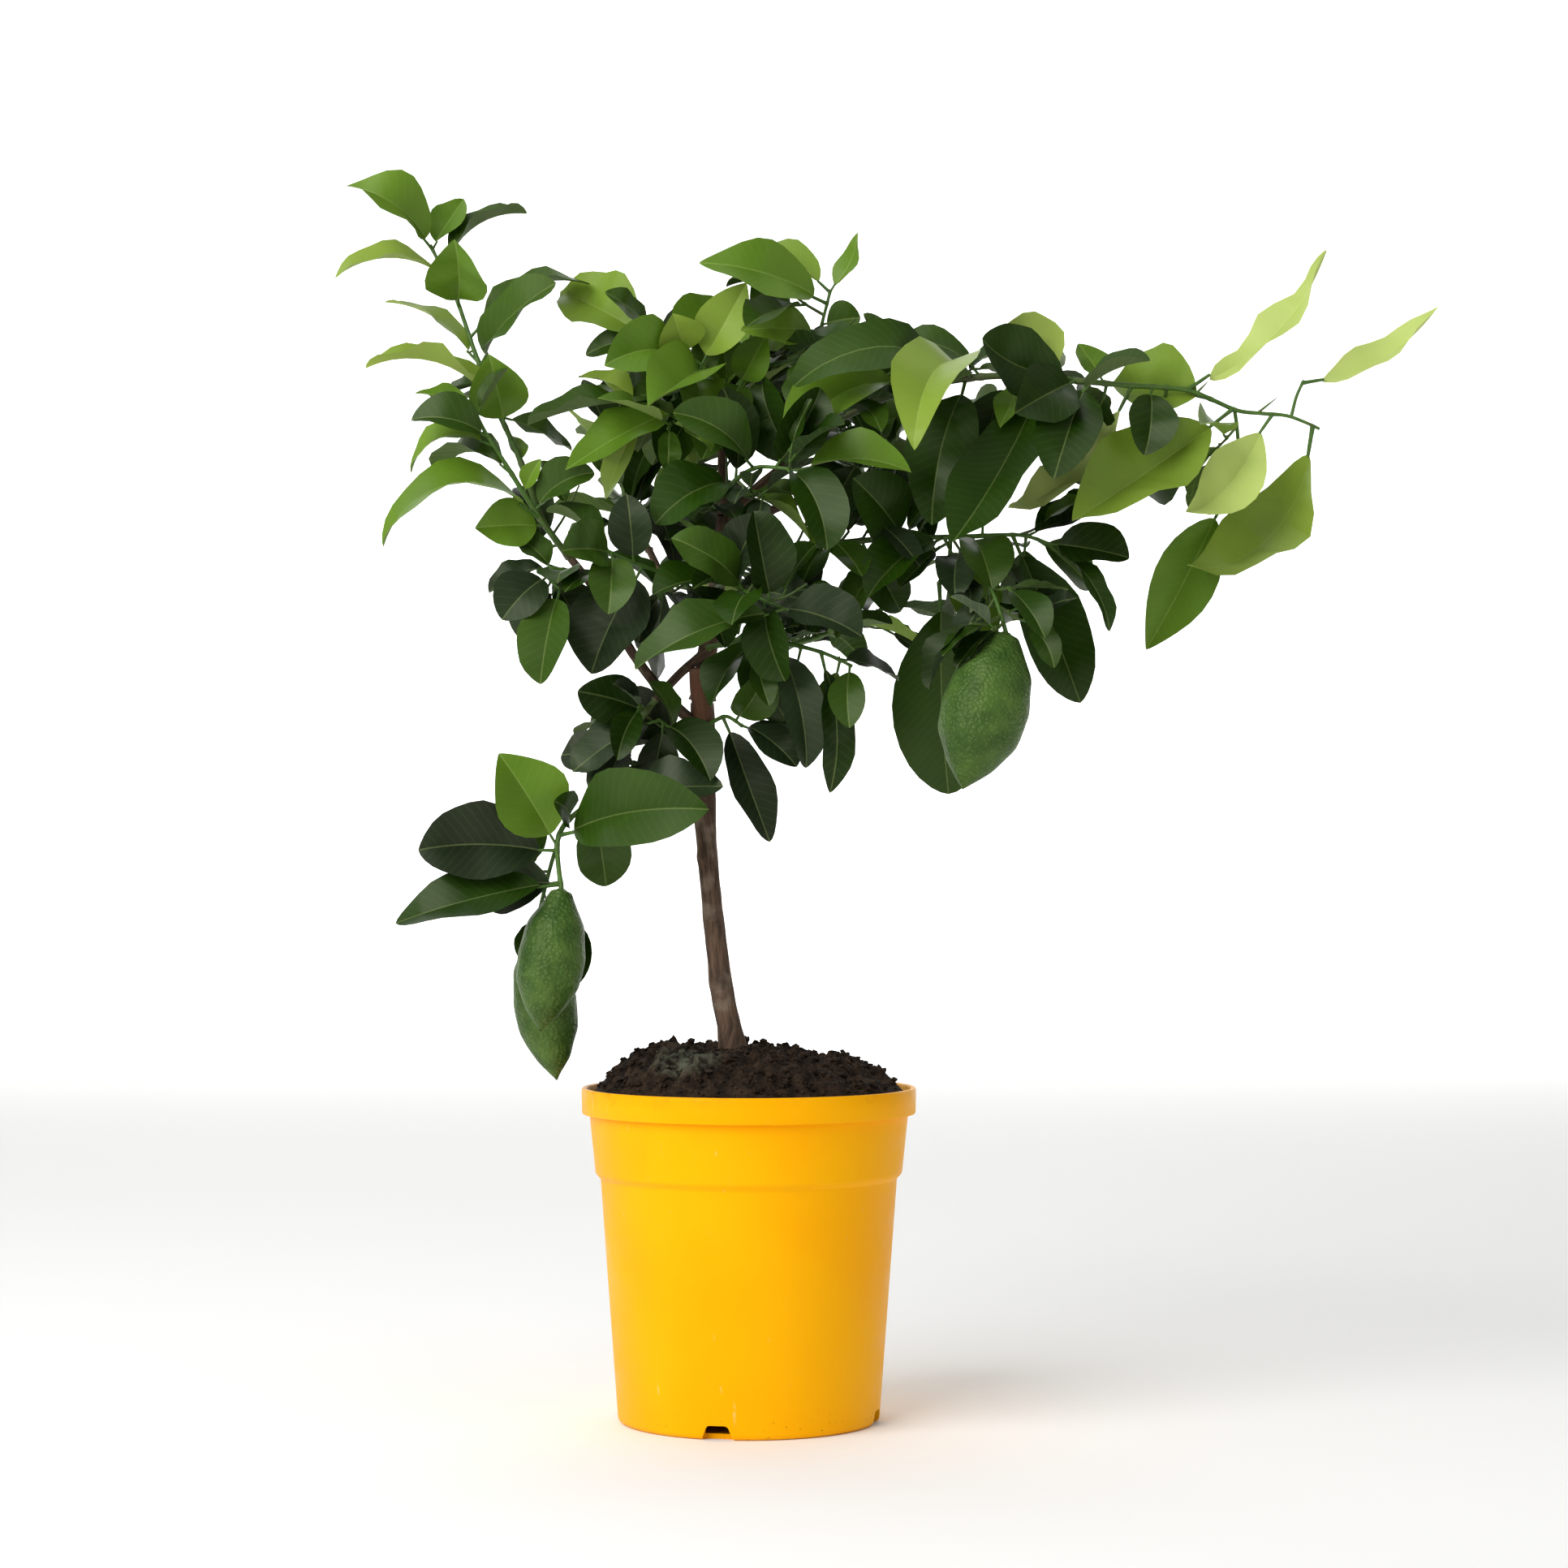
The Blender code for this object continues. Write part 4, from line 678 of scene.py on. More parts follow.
chance = random.Random(SEED)
back_ages = itertools.cycle(BACK_AGES)
for name, shoots in BACK_SPRAYS.items():
    for path, (_, _, _, count) in zip(shoot_paths[name], shoots):
        for leaf in spiral_leaves(path, count, chance):
            place = settle(name, *leaf, things)
            age = next(back_ages)
            if place:
                leaves.append((name, age, place))
print("planned leaves:", len(leaves))


# %% [markdown]
# ## Finer twigs and small leaves
# The solids hold only the leaves that give the crown its outline. A real crown also has short inner
# twigs with small leaves, which make it dense and dark inside. They grow on the same shoots by the
# spiral rule. A twig or leaf is kept only if it stays within the reach of its mass and, seen from
# the front, in line with leaves or limbs that are there already, so the gaps to the sky stay open.

# %% Grow fine twigs inside the crown
TWIG_SPACING = 6.5        # millimetres of shoot for each fine twig that is tried
TWIG_STARTS = (0.3, 1.0)  # where it starts, as a share of that
TWIG_LENGTHS = (16, 34)
TWIG_RADII = (1.0, 0.6)
TWIG_SPREAD = (40, 75)    # degrees between a twig and its shoot
TWIG_RISE = 0.15          # how much a twig turns up, as a share of its length
TWIG_CLEARANCE = 4.0      # first stretch of a twig, which may touch its own shoot
TWIG_PROBE = (1.2, 1.2, 1.0)  # radii that a twig is tested with
TWIG_STEPS = 3
SMALL_LEAVES = (0.35, 0.55, 0.72, 0.86, 0.98)
SMALL_LENGTHS = (28, 54)
SMALL_AHEAD = 0.6         # how far a small leaf points along its twig, and how far away from it
SMALL_ASIDE = 0.8
SMALL_SKY = (0, -0.5, 1)  # where its upper side faces: up and a little to the front
SMALL_MIDDLE = 0.6        # the place on it, besides its tip, that has to be covered
SMALL_TURNS = (0, 14, -14)
TWIGGY_SHARE = {"left_tall_spray": 0.2, "left_short_spray": 0.0, "right_long_spray": 0.5}
SMALL_AGES = {"right_long_spray": "mmdf", "centre_left_spray": "mmf", "centre_right_spray": "mdf"}
# the g among these inner leaves is partly dust and partly painted sheen and painted shade
USUAL_TONES = "ddgm"
EYE = Vector((EYE_X, -VIEW_DISTANCE, EYE_Z))

planned = list(things)
reach = {}
for thing in planned:
    low, high = reach.get(thing.owner, (thing.low, thing.high))
    reach[thing.owner] = (Vector(map(min, low, thing.low)), Vector(map(max, high, thing.high)))


def covered(point):
    """Whether a leaf or limb of the plan lies in line with a place, seen from the front."""
    ahead = (point - EYE).normalized()
    return any(thing.tree.ray_cast(EYE, ahead)[0] for thing in planned)


def within(point, name):
    """Whether a place lies in the box of a mass."""
    low, high = reach[name]
    return all(low[i] <= point[i] <= high[i] for i in range(3))


def fine_twig(name, path, share, chance):
    """The path of a short twig on a shoot, or None where it has no room."""
    root, ahead = along_path(path, share)
    side = Matrix.Rotation(chance.uniform(0, math.tau), 3, ahead) @ ahead.orthogonal().normalized()
    spread = math.radians(chance.uniform(*TWIG_SPREAD))
    heading = ahead * math.cos(spread) + side * math.sin(spread)
    length = chance.uniform(*TWIG_LENGTHS)
    middle = root + heading * length * 0.5
    tip = root + heading * length + Vector((0, 0, TWIG_RISE * length))
    if not (within(tip, name) and covered(tip) and covered(middle)):
        return None
    foot = root + heading * TWIG_CLEARANCE
    probe = Thing(name, tube_shape([foot, middle, tip], TWIG_PROBE, TWIG_SIDES))
    if any(probe.touches(thing) for thing in things):
        return None
    things.append(probe)
    return smooth_path([root, middle, tip], TWIG_STEPS)


fine_twigs = []
for name, paths in shoot_paths.items():
    for path in paths:
        twiggy = TWIGGY_SHARE.get(name, 1.0)
        tries = int(sum(stretches(path)) / TWIG_SPACING * twiggy)
        for k in range(tries):
            share = (k + chance.uniform(*TWIG_STARTS)) / (tries + 1) * twiggy
            twig = fine_twig(name, path, share, chance)
            if not twig:
                continue
            fine_twigs.append(twig)
            for n, share in enumerate(SMALL_LEAVES):
                root, ahead = along_path(twig, share)
                side = turning(SPIRAL_ANGLE * n, ahead) @ ahead.orthogonal()
                heading = (ahead * SMALL_AHEAD + side.normalized() * SMALL_ASIDE).normalized()
                sky = Vector(SMALL_SKY) + side.normalized() * SPIRAL_TILT
                normal = (sky - heading * sky.dot(heading)).normalized()
                length = chance.uniform(*SMALL_LENGTHS)
                tip = root + heading * length
                if not (within(tip, name) and covered(tip) and covered(root.lerp(tip, SMALL_MIDDLE))):
                    continue
                width = length * chance.uniform(*SPIRAL_WIDTHS)
                curl = chance.uniform(*SPIRAL_CURLS)
                place = settle(name, root, heading, normal, length, width, curl, things, SMALL_TURNS)
                if place:
                    leaves.append((name, chance.choice(SMALL_AGES.get(name, USUAL_TONES)), place))
print("fine twigs:", len(fine_twigs), "leaves in all:", len(leaves))

# %% [markdown]
# ## Colours and materials
# Each material starts from what the real surface is made of. Colours are written as the hex values
# that a painter would read off, and one function turns them to the linear numbers that Blender
# mixes with. One small function adds a node, so that a material reads as a list of its steps.

# %% Colour and node helpers
def linear(code):
    """The linear colour of an sRGB hex code, as red, green, blue and alpha."""
    parts = [int(code[i:i + 2], 16) / 255 for i in (1, 3, 5)]
    return tuple(p / 12.92 if p <= 0.04045 else ((p + 0.055) / 1.055) ** 2.4 for p in parts) + (1.0,)


def repeats(size):
    """How often a pattern of that size in millimetres comes in a metre."""
    return 1 / (size * MM)


def feed(tree, node, sockets):
    """Sets a node's sockets, each to a value, a hex colour or the output that it is linked to."""
    for key, value in sockets.items():
        if isinstance(value, bpy.types.NodeSocket):
            tree.links.new(value, node.inputs[key])
        else:
            node.inputs[key].default_value = linear(value) if isinstance(value, str) else value


def put(tree, kind, sockets=None, out=0, **settings):
    """Adds a node with its settings, values and links, and returns one of its outputs."""
    node = tree.nodes.new("ShaderNode" + kind)
    for key, value in settings.items():
        setattr(node, key, value)
    feed(tree, node, sockets or {})
    return node.outputs[out]


def new_material(name):
    """A material with its node tree and its Principled shader."""
    material = bpy.data.materials.new(name)
    material.use_nodes = True
    return material, material.node_tree, material.node_tree.nodes["Principled BSDF"]


SOFT = {"interpolation_type": "SMOOTHSTEP"}    # a range with a soft start and end
COLOURS = {"out": 2, "data_type": "RGBA"}      # a mix of two colours, in the sockets 6 and 7
print("pure yellow is", [round(c, 3) for c in linear("#FFC20E")])

# %% [markdown]
# ## Leaf material: the living citrus leaf
# The upper side of a lemon leaf has a waxy cuticle, so it is smooth and half glossy. The lower side
# has none: it is paler and matt, with raised veins. The side veins leave the midrib every 5 mm or
# so and curve towards the tip. They are drawn from the leaf's own UV map, which holds the distance
# along the blade and across it in units of 100 mm. Each tone of leaf gets its own pair of greens:
# the young ones hold a painted glow, and those of g a painted sheen and painted shade.

# %% Leaf materials
UV_UNIT = 100.0           # millimetres for each unit of a UV map
VEIN_SPACING = 5.5
VEIN_SLANT = 0.8          # how far a side vein runs along the leaf for each step across it
VEIN_WIDTH = 0.6
VEIN_DRIFT = 6.667        # length of a bend in the side veins
VEIN_WANDER = 2.2         # how far it leads them aside
MIDRIB_WIDTHS = (0.2, 0.65)  # from the midrib's middle to where it starts to fade, and ends
MIDRIB_SHARE = 0.36       # how much of the vein's light colour the midrib has
LEAF_PATCH = 38.46        # size of the lighter and darker patches
LEAF_GRAIN = 1.111        # coarser than the cells of a leaf, which wouldn't show
GRAIN_RISE = 0.18
# The waxy upper side and the matt lower one: gloss, colour and share of the side veins, their height
WAXY = {"roughness": 0.4, "shine": 0.36, "vein_light": 0.4, "vein_share": 0.06, "vein_rise": -0.08}
MATT = {"roughness": 0.6, "shine": 0.12, "vein_light": 0.5, "vein_share": 0.18, "vein_rise": 0.5}
TONE_COLOURS = {           # name, two greens of the upper side, one of the lower
    "d": ("dark", "#0A1C00", "#254304", "#46553A"),
    # g: grey-green that is partly dust and partly painted sheen and painted shade
    "g": ("dust_painted_sheen_and_shade", "#0E1A0A", "#2D3D24", "#5E6A54"),
    "m": ("mid", "#1C3804", "#405C17", "#687850"),
    # f, l and p: young greens, painted lighter still as a painted glow of light shining through the
    # leaf
    "f": ("fresh_and_painted_glow", "#42660A", "#6C8C2A", "#8CA05C"),
    "l": ("light", "#668620", "#869C3C", "#A0B45C"),
    "p": ("pale", "#A2B658", "#C4D480", "#BCCC74"),
}


def leaf_material(name, deep, bright, side):
    """A leaf's waxy or matt side, with midrib and side veins from the leaf's own map."""
    material, tree, shader = new_material(name)
    place = put(tree, "TexCoord", out="Object")
    chart_x = put(tree, "SeparateXYZ", {0: put(tree, "TexCoord", out="UV")})
    chart_y = chart_x.node.outputs["Y"]
    along = put(tree, "Math", {0: chart_x, 1: UV_UNIT}, operation="MULTIPLY")
    aside = put(tree, "Math", {0: chart_y}, operation="ABSOLUTE")
    across = put(tree, "Math", {0: aside, 1: UV_UNIT}, operation="MULTIPLY")
    drift = put(tree, "TexNoise", {"Vector": place, "Scale": repeats(VEIN_DRIFT)})
    wander = put(tree, "Math", {0: drift, 1: VEIN_WANDER}, operation="MULTIPLY")
    slant = put(tree, "Math", {0: across, 1: VEIN_SLANT}, operation="MULTIPLY")
    ahead = put(tree, "Math", {0: along, 1: slant}, operation="SUBTRACT")
    phase = put(tree, "Math", {0: ahead, 1: wander}, operation="ADD")
    to_vein = put(tree, "Math", {0: phase, 1: VEIN_SPACING / 2}, operation="PINGPONG")
    vein = put(tree, "MapRange", {0: to_vein, 1: 0.0, 2: VEIN_WIDTH, 3: 1.0, 4: 0.0}, **SOFT)
    inner, outer = MIDRIB_WIDTHS
    midrib = put(tree, "MapRange", {0: across, 1: inner, 2: outer, 3: 1.0, 4: 0.0}, **SOFT)
    tint = put(tree, "Attribute", out="Fac", attribute_name="tint")
    patches = put(tree, "TexNoise", {"Vector": place, "Scale": repeats(LEAF_PATCH)})
    spread = put(tree, "Math", {0: patches, 1: 0.7, 2: -0.35}, operation="MULTIPLY_ADD")
    share = put(tree, "Math", {0: spread, 1: tint}, operation="ADD", use_clamp=True)
    ground = put(tree, "Mix", {0: share, 6: deep, 7: bright}, **COLOURS)
    light_vein = put(tree, "Mix", {0: side["vein_light"], 6: bright, 7: "#B8C87C"}, **COLOURS)
    vein_share = put(tree, "Math", {0: vein, 1: side["vein_share"]}, operation="MULTIPLY")
    veined = put(tree, "Mix", {0: vein_share, 6: ground, 7: light_vein}, **COLOURS)
    rib_share = put(tree, "Math", {0: midrib, 1: MIDRIB_SHARE}, operation="MULTIPLY")
    ribbed = put(tree, "Mix", {0: rib_share, 6: veined, 7: light_vein}, **COLOURS)
    grain = put(tree, "TexNoise", {"Vector": place, "Scale": repeats(LEAF_GRAIN)})
    raised = put(tree, "Math", {0: vein, 1: side["vein_rise"]}, operation="MULTIPLY")
    relief = put(tree, "Math", {0: grain, 1: GRAIN_RISE, 2: raised}, operation="MULTIPLY_ADD")
    bump = put(tree, "Bump", {"Height": relief, "Distance": 0.3 * MM, "Strength": 0.35})
    feed(tree, shader, {"Base Color": ribbed, "Roughness": side["roughness"], "IOR": 1.45,
                        "Normal": bump, "Specular IOR Level": side["shine"],
                        "Specular Tint": "#F0F3D8"})
    return material


leaf_materials = {}
for age, (word, deep, bright, below) in TONE_COLOURS.items():
    leaf_materials[age] = (leaf_material(f"waxy_leaf_{word}", deep, bright, WAXY),
                           leaf_material(f"matt_leaf_underside_{word}", below, bright, MATT))
print("leaf materials:", 2 * len(leaf_materials))

# %% [markdown]
# ## Leaves
# A lemon leaf is an oval with a pointed tip, folded a little along its midrib, arched, and wavy at
# its edge. It could be subdivided from a plane, but hundreds are needed, each with its own curve,
# so one grid of a few dozen faces is bent by arithmetic for each leaf, and all the leaves of one
# tone are joined into one mesh. The lower side bulges along the midrib, which closes the body. A
# leaf that would pass through a finished one is drawn anew, each time a little plainer.

# %% The fine leaf
ROWS = np.array([0.02, 0.07, 0.15, 0.25, 0.36, 0.47, 0.58, 0.69, 0.79, 0.87, 0.94, 0.98])
COLUMNS = np.array([-1.0, 0.0, 1.0])
RING = 4                  # corners in each row: edge, midrib, other edge, and one below the midrib
# Half-width at each row as a share of the widest: young leaves have a drawn-out tip, old ones are blunt
YOUNG_OUTLINE = np.sin(np.pi * ROWS ** 0.88) ** 0.84 * (1.1 - 0.26 * ROWS ** 3)
OLD_OUTLINE = 2.85 * ROWS ** 0.76 * (1 - ROWS) ** 0.74
YOUNG_AGES = "flp"
LEAF_TWIST = 30.0         # greatest, in degrees from the base to the tip
EDGE_WAVE = (0.014, 0.045)  # height of the edge's waves, as shares of the length
EDGE_WAVES = (1.2, 2.6)   # how many there are from base to tip
FOLDS = (14, 36)          # degrees that each half of a leaf is raised
SIDE_BEND = 0.09          # greatest, as a share of the length
TINTS = (0.2, 0.8)        # where a leaf lies between the two greens of its age
ARCHING = (0, 26)         # degrees that are added to each leaf's arch
SHAPE_TRIES = 10          # a leaf that touches others is made plainer, step by step, as often as this
MIDRIB_SINK = 0.15
MIDRIB_BULGE = 0.45       # below the blade, half as much again at the base as in the middle


def leaf_faces():
    """The corner numbers of one leaf's faces, and 0 or 1 for each that is above or below."""
    faces, sides = [], []
    base, tip = RING * len(ROWS), RING * len(ROWS) + 1
    for row in range(len(ROWS)):
        here, there = RING * row, RING * row + RING
        for a in range(RING):
            b, side = (a + 1) % RING, 0 if a < len(COLUMNS) - 1 else 1
            if row == 0:
                faces.append((base, here + b, here + a))
                sides.append(side)
            if row == len(ROWS) - 1:
                faces.append((here + a, here + b, tip))
            elif a % 2 == 0:
                faces.append((here + a, here + b, there + b, there + a))
            else:
                faces.append((here + b, there + b, there + a, here + a))
            sides.append(side)
    return faces, sides


LEAF_FACES, LEAF_SIDES = leaf_faces()


def fine_leaf(place, outline, chance, freedom):
    """Corners of one leaf in millimetres, and where each lies on the leaf's own map."""
    root, ahead, normal, length, width, curl = place
    curl += math.copysign(chance.uniform(*ARCHING) * freedom, curl)
    across = ahead.cross(normal)
    raised = turning(curl / 2, across)
    ahead, normal, across = np.array(raised @ ahead), np.array(raised @ normal), np.array(across)
    petiole = length * PETIOLE_SHARE
    blade = length - petiole
    arch = math.radians(curl) or 0.001
    shares = np.append(ROWS, 1.0)[:, None]
    sine, cosine = np.sin(arch * shares), np.cos(arch * shares)
    start = np.array(root) + ahead * petiole
    spine = start + blade / arch * (sine * ahead - (1 - cosine) * normal)
    bend = chance.uniform(-SIDE_BEND, SIDE_BEND) * freedom
    spine = spine + across * bend * length * shares * (shares - 1) * 2
    up = normal * cosine + ahead * sine
    twist = math.radians(chance.uniform(-LEAF_TWIST, LEAF_TWIST) * freedom) * shares
    side = (across * np.cos(twist) + up * np.sin(twist))[:-1]
    top = (up * np.cos(twist) - across * np.sin(twist))[:-1]
    half = width / 2 * outline
    wave = length * chance.uniform(*EDGE_WAVE)
    fold = math.tan(math.radians(LEAF_FOLD + (chance.uniform(*FOLDS) - LEAF_FOLD) * freedom))
    corners = np.empty((len(ROWS), RING, 3))
    for k, column in enumerate(COLUMNS):
        turns = chance.uniform(*EDGE_WAVES)
        ripple = wave * np.sin(math.tau * (turns * ROWS + chance.random())) * outline ** 0.5
        lift = (half * fold + ripple) * abs(column)
        if column == 0.0:
            lift = lift - MIDRIB_SINK * outline
        corners[:, k] = spine[:-1] + side * (column * half)[:, None] + top * lift[:, None]
    corners[:, 3] = corners[:, 1] - top * (MIDRIB_BULGE * (1.5 - ROWS[:, None]))
    chart = np.empty((len(ROWS), RING, 2))
    chart[:, :, 0] = (ROWS * blade)[:, None]
    chart[:, :, 1] = half[:, None] * COLUMNS[[0, 1, 2, 1]]
    corners = np.vstack([corners.reshape(-1, 3), start, spine[-1]])
    chart = np.vstack([chart.reshape(-1, 2), (0, 0), (blade, 0)]) / UV_UNIT
    return corners, chart


def joined(parts):
    """Several shapes as one: corners, faces and the lists that go with the corners."""
    corners, faces = [], []
    others = [[] for _ in parts[0][2:]]
    for shape in parts:
        faces += [tuple(len(corners) + c for c in face) for face in shape[1]]
        corners += list(shape[0])
        for whole, own in zip(others, shape[2:]):
            whole += list(own)
    return corners, faces, *others


def add_object(name, data):
    """A new object in the scene, at the origin and unturned."""
    item = bpy.data.objects.new(name, data)
    bpy.context.scene.collection.objects.link(item)
    return item


def make_piece(name, corners, faces, materials, slots=None, chart=None, marks=None, sharp=40.0):
    """A mesh object from corners in millimetres, with its UV map and its point attributes."""
    mesh = bpy.data.meshes.new(name)
    mesh.from_pydata((np.asarray(corners) * MM).tolist(), [], faces)
    for material in materials:
        mesh.materials.append(material)
    if slots is not None:
        mesh.polygons.foreach_set("material_index", slots)
    if chart is not None:
        loops = np.empty(len(mesh.loops), dtype=int)
        mesh.loops.foreach_get("vertex_index", loops)
        mesh.uv_layers.new(name="UVMap").data.foreach_set("uv", np.asarray(chart)[loops].ravel())
    for key, values in (marks or {}).items():
        mesh.attributes.new(key, "FLOAT", "POINT").data.foreach_set("value", values)
    mesh.shade_smooth()
    mesh.set_sharp_from_angle(angle=math.radians(sharp))
    return add_object(name, mesh)


def hand_over(piece, slot, *nodes):
    """The piece rides with the plant and stands for solids, which are hidden; its slot is not used."""
    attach(piece, "root")
    if nodes:
        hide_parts(*nodes)


# %% Make the leaves, one mesh for each tone
grown_leaves = []
for age, (word, *_) in TONE_COLOURS.items():
    parts = []
    chosen = [(name, place) for name, letter, place in leaves if letter == age]
    outline = YOUNG_OUTLINE if age in YOUNG_AGES else OLD_OUTLINE
    for name, place in chosen:
        for tried in range(SHAPE_TRIES):
            shape, places = fine_leaf(place, outline, chance, 1 - tried / SHAPE_TRIES)
            grown = Thing(name, (shape.tolist(), LEAF_FACES))
            if not any(grown.touches(leaf) for leaf in grown_leaves):
                break
        grown_leaves.append(grown)
        parts.append((shape, LEAF_FACES, places, [chance.uniform(*TINTS)] * len(shape)))
    corners, faces, chart, tints = joined(parts)
    piece = make_piece(f"leaves_{word}", corners, faces, leaf_materials[age],
                       LEAF_SIDES * len(chosen), chart, {"tint": tints}, sharp=30.0)
    hand_over(piece, "foliage", *sorted({name for name, _ in chosen}))
    print(piece.name, len(chosen), "leaves,", len(faces), "faces")

# %% [markdown]
# ## Shoots, leaf stalks, buds and thorns
# Young citrus shoots are green and only turn to bark with age, so their material goes from green to
# brown by an attribute that each tube carries. Every leaf hangs on a short stalk with a bud in its
# angle, and the shoot is a little thicker there. Strong shoots of a lemon also bear straight thorns.

# %% Shoot material
SHOOT_PATCH = 6.25        # size of the lighter green patches
SHOOT_STREAK = 2.0        # and of the streaks in the grey-brown bark


def shoot_material():
    """Smooth green skin that turns to grey-brown bark as the shoot grows old."""
    material, tree, shader = new_material("citrus_shoot_skin")
    place = put(tree, "TexCoord", out="Object")
    wood = put(tree, "Attribute", out="Fac", attribute_name="wood")
    patches = put(tree, "TexNoise", {"Vector": place, "Scale": repeats(SHOOT_PATCH)})
    green = put(tree, "Mix", {0: patches, 6: "#2A4A10", 7: "#557A2A"}, **COLOURS)
    streaks = put(tree, "TexNoise", {"Vector": place, "Scale": repeats(SHOOT_STREAK), "Detail": 4.0})
    brown = put(tree, "Mix", {0: streaks, 6: "#4A3B2C", 7: "#7B6A56"}, **COLOURS)
    skin = put(tree, "Mix", {0: wood, 6: green, 7: brown}, **COLOURS)
    bump = put(tree, "Bump", {"Height": streaks, "Distance": 0.4 * MM, "Strength": 0.5})
    feed(tree, shader, {"Base Color": skin, "Roughness": 0.5, "IOR": 1.45, "Normal": bump})
    return material


# %% Make shoots, stalks, buds and thorns as one mesh
SHOOT_SIDES = 10
NODE_SWELL = 1.22         # how much thicker a shoot is where a leaf grows
NODE_REACH = 2.6          # millimetres on either side of it
OLD_RADIUS = 3.2          # a shoot this thick is brown all round, half as thick it is green
SHOOT_STEPS = 6           # rings for each place of a shoot's path
FOOT_FLARES = (1.5, 1.35)  # how much thicker a stem is inside its bough, and just outside
FOOT_OUT = 0.6            # where the second of these lies between the bough's middle and the stem
FINE_SIDES = 6            # of twigs, stalks, buds and thorns
PETIOLE_SINK = 0.4        # how far a leaf's stalk reaches back into its shoot
PETIOLE_REACH = 1.0       # and on into the blade
PETIOLE_GIRTH = 0.6       # radius, to which a share of the leaf's length is added
PETIOLE_GROWTH = 0.005
PETIOLE_TAPER = {0.0: 1.25, 0.35: 1.0, 0.7: 0.95, 1.0: 0.8}  # share of its length: share of its girth
BUD = (2.4, 0.8)          # length and radius
BUD_TILT = 1.5            # how steeply it stands on the leaf's stalk
BUD_TAPER = {0.0: 1.0, 0.4: 1.0, 0.8: 0.6, 1.0: 0.125}
TWIG_WOOD = 0.25          # how far each has turned to bark
BUD_WOOD = 0.15
THORN_WOOD = 0.2
THORN_RADII = (0.9, 0.6, 0.1)
THORNS = [                # mass, share along its stem, turn, toward, length
    ("right_long_spray", 0.74, 45, 20, 11), ("right_long_spray", 0.87, 38, 10, 16),
    ("right_long_spray", 0.97, 338, 10, 6), ("right_long_spray", 0.42, 80, 30, 7),
    ("left_tall_spray", 0.45, 60, 20, 6), ("left_tall_spray", 0.66, 200, 15, 5),
    ("right_low_spray", 0.5, 75, 25, 6),
]


def wood_of(radius):
    """How far a shoot of that radius has turned to bark."""
    return min(max((2 * radius - OLD_RADIUS) / OLD_RADIUS, 0.0), 1.0)


def nearest_limb_point(place):
    """The point on the middle line of any limb that is nearest to a place."""
    points = [nearest_on_path(path, place) for path in limb_paths.values()]
    return min(points, key=lambda point: (point - place).length)


green_parts = []          # (corners, faces, how woody each corner is)


def add_tube(path, radii, sides=SHOOT_SIDES, wood=None):
    """Adds a tube to the green parts, as woody as told or as its thickness makes it."""
    corners, faces = tube_shape(path, radii, sides)
    woody = [wood_of(r) if wood is None else wood for r in radii for _ in range(sides)]
    green_parts.append((corners, faces, woody))


roots = {}
for name, _, place in leaves:
    roots.setdefault(name, []).append(place[0])
for name, shoots in {**SPRAYS, **BACK_SPRAYS}.items():
    for n, (path, (_, start_radius, end_radius, _)) in enumerate(zip(shoot_paths[name], shoots)):
        fine = smooth_path(path, SHOOT_STEPS)
        radii = tapered(fine, start_radius, end_radius)
        for i, point in enumerate(fine):
            near = min(((root - point).length for root in roots.get(name, [])), default=NODE_REACH)
            radii[i] *= 1 + (NODE_SWELL - 1) * max(0.0, 1 - near / NODE_REACH)
        if n == 0:
            foot = nearest_limb_point(fine[0])
            fine = [foot, foot.lerp(fine[0], FOOT_OUT)] + fine
            radii = [radii[0] * flare for flare in FOOT_FLARES] + radii
        add_tube(fine, radii)
for twig in fine_twigs:
    add_tube(twig, tapered(twig, *TWIG_RADII), FINE_SIDES, TWIG_WOOD)
for _, _, (root, ahead, normal, length, _, curl) in leaves:
    across = ahead.cross(normal)
    start = turning(curl / 2, across) @ ahead
    end = root + start * (length * PETIOLE_SHARE + PETIOLE_REACH)
    stalk = [root.lerp(end, share) for share in PETIOLE_TAPER]
    stalk[0] = root - start * PETIOLE_SINK
    girth = PETIOLE_GIRTH + length * PETIOLE_GROWTH
    add_tube(stalk, [girth * part for part in PETIOLE_TAPER.values()], FINE_SIDES, 0.0)
    up = (start + normal * BUD_TILT).normalized()
    bud = [root + up * (BUD[0] * share) for share in BUD_TAPER]
    add_tube(bud, [BUD[1] * part for part in BUD_TAPER.values()], FINE_SIDES, BUD_WOOD)
for name, share, turn, toward, length in THORNS:
    root, _ = along_path(shoot_paths[name][0], share)
    ahead, _ = leaf_headings(turn, toward, 0)
    thorn = [root, root + ahead * (length * 0.5), root + ahead * length]
    add_tube(thorn, THORN_RADII, FINE_SIDES, THORN_WOOD)

corners, faces, woody = joined(green_parts)
shoots_piece = make_piece("shoots", corners, faces, [shoot_material()], marks={"wood": woody},
                          sharp=80.0)
hand_over(shoots_piece, "foliage", *shoot_paths)
print("shoots:", len(green_parts), "tubes,", len(faces), "faces")

# %% [markdown]
# ## Bark
# The trunk of a young lemon tree is 14 mm thick, slim and slightly crooked, with grey-brown bark
# that has fine cracks along its length, a few knots and pale patches. A plain tube would look like
# a pipe, so the corners of a fine tube are moved by noise that is stretched along the stem, and the
# finest cracks are added by the material from the same map.

# %% Bark material
BARK_CRACK = (2.63, 20.0)  # width and length of the cracks: wider than real ones, so that they show
BARK_PATCH = 16.67        # size of the pale patches


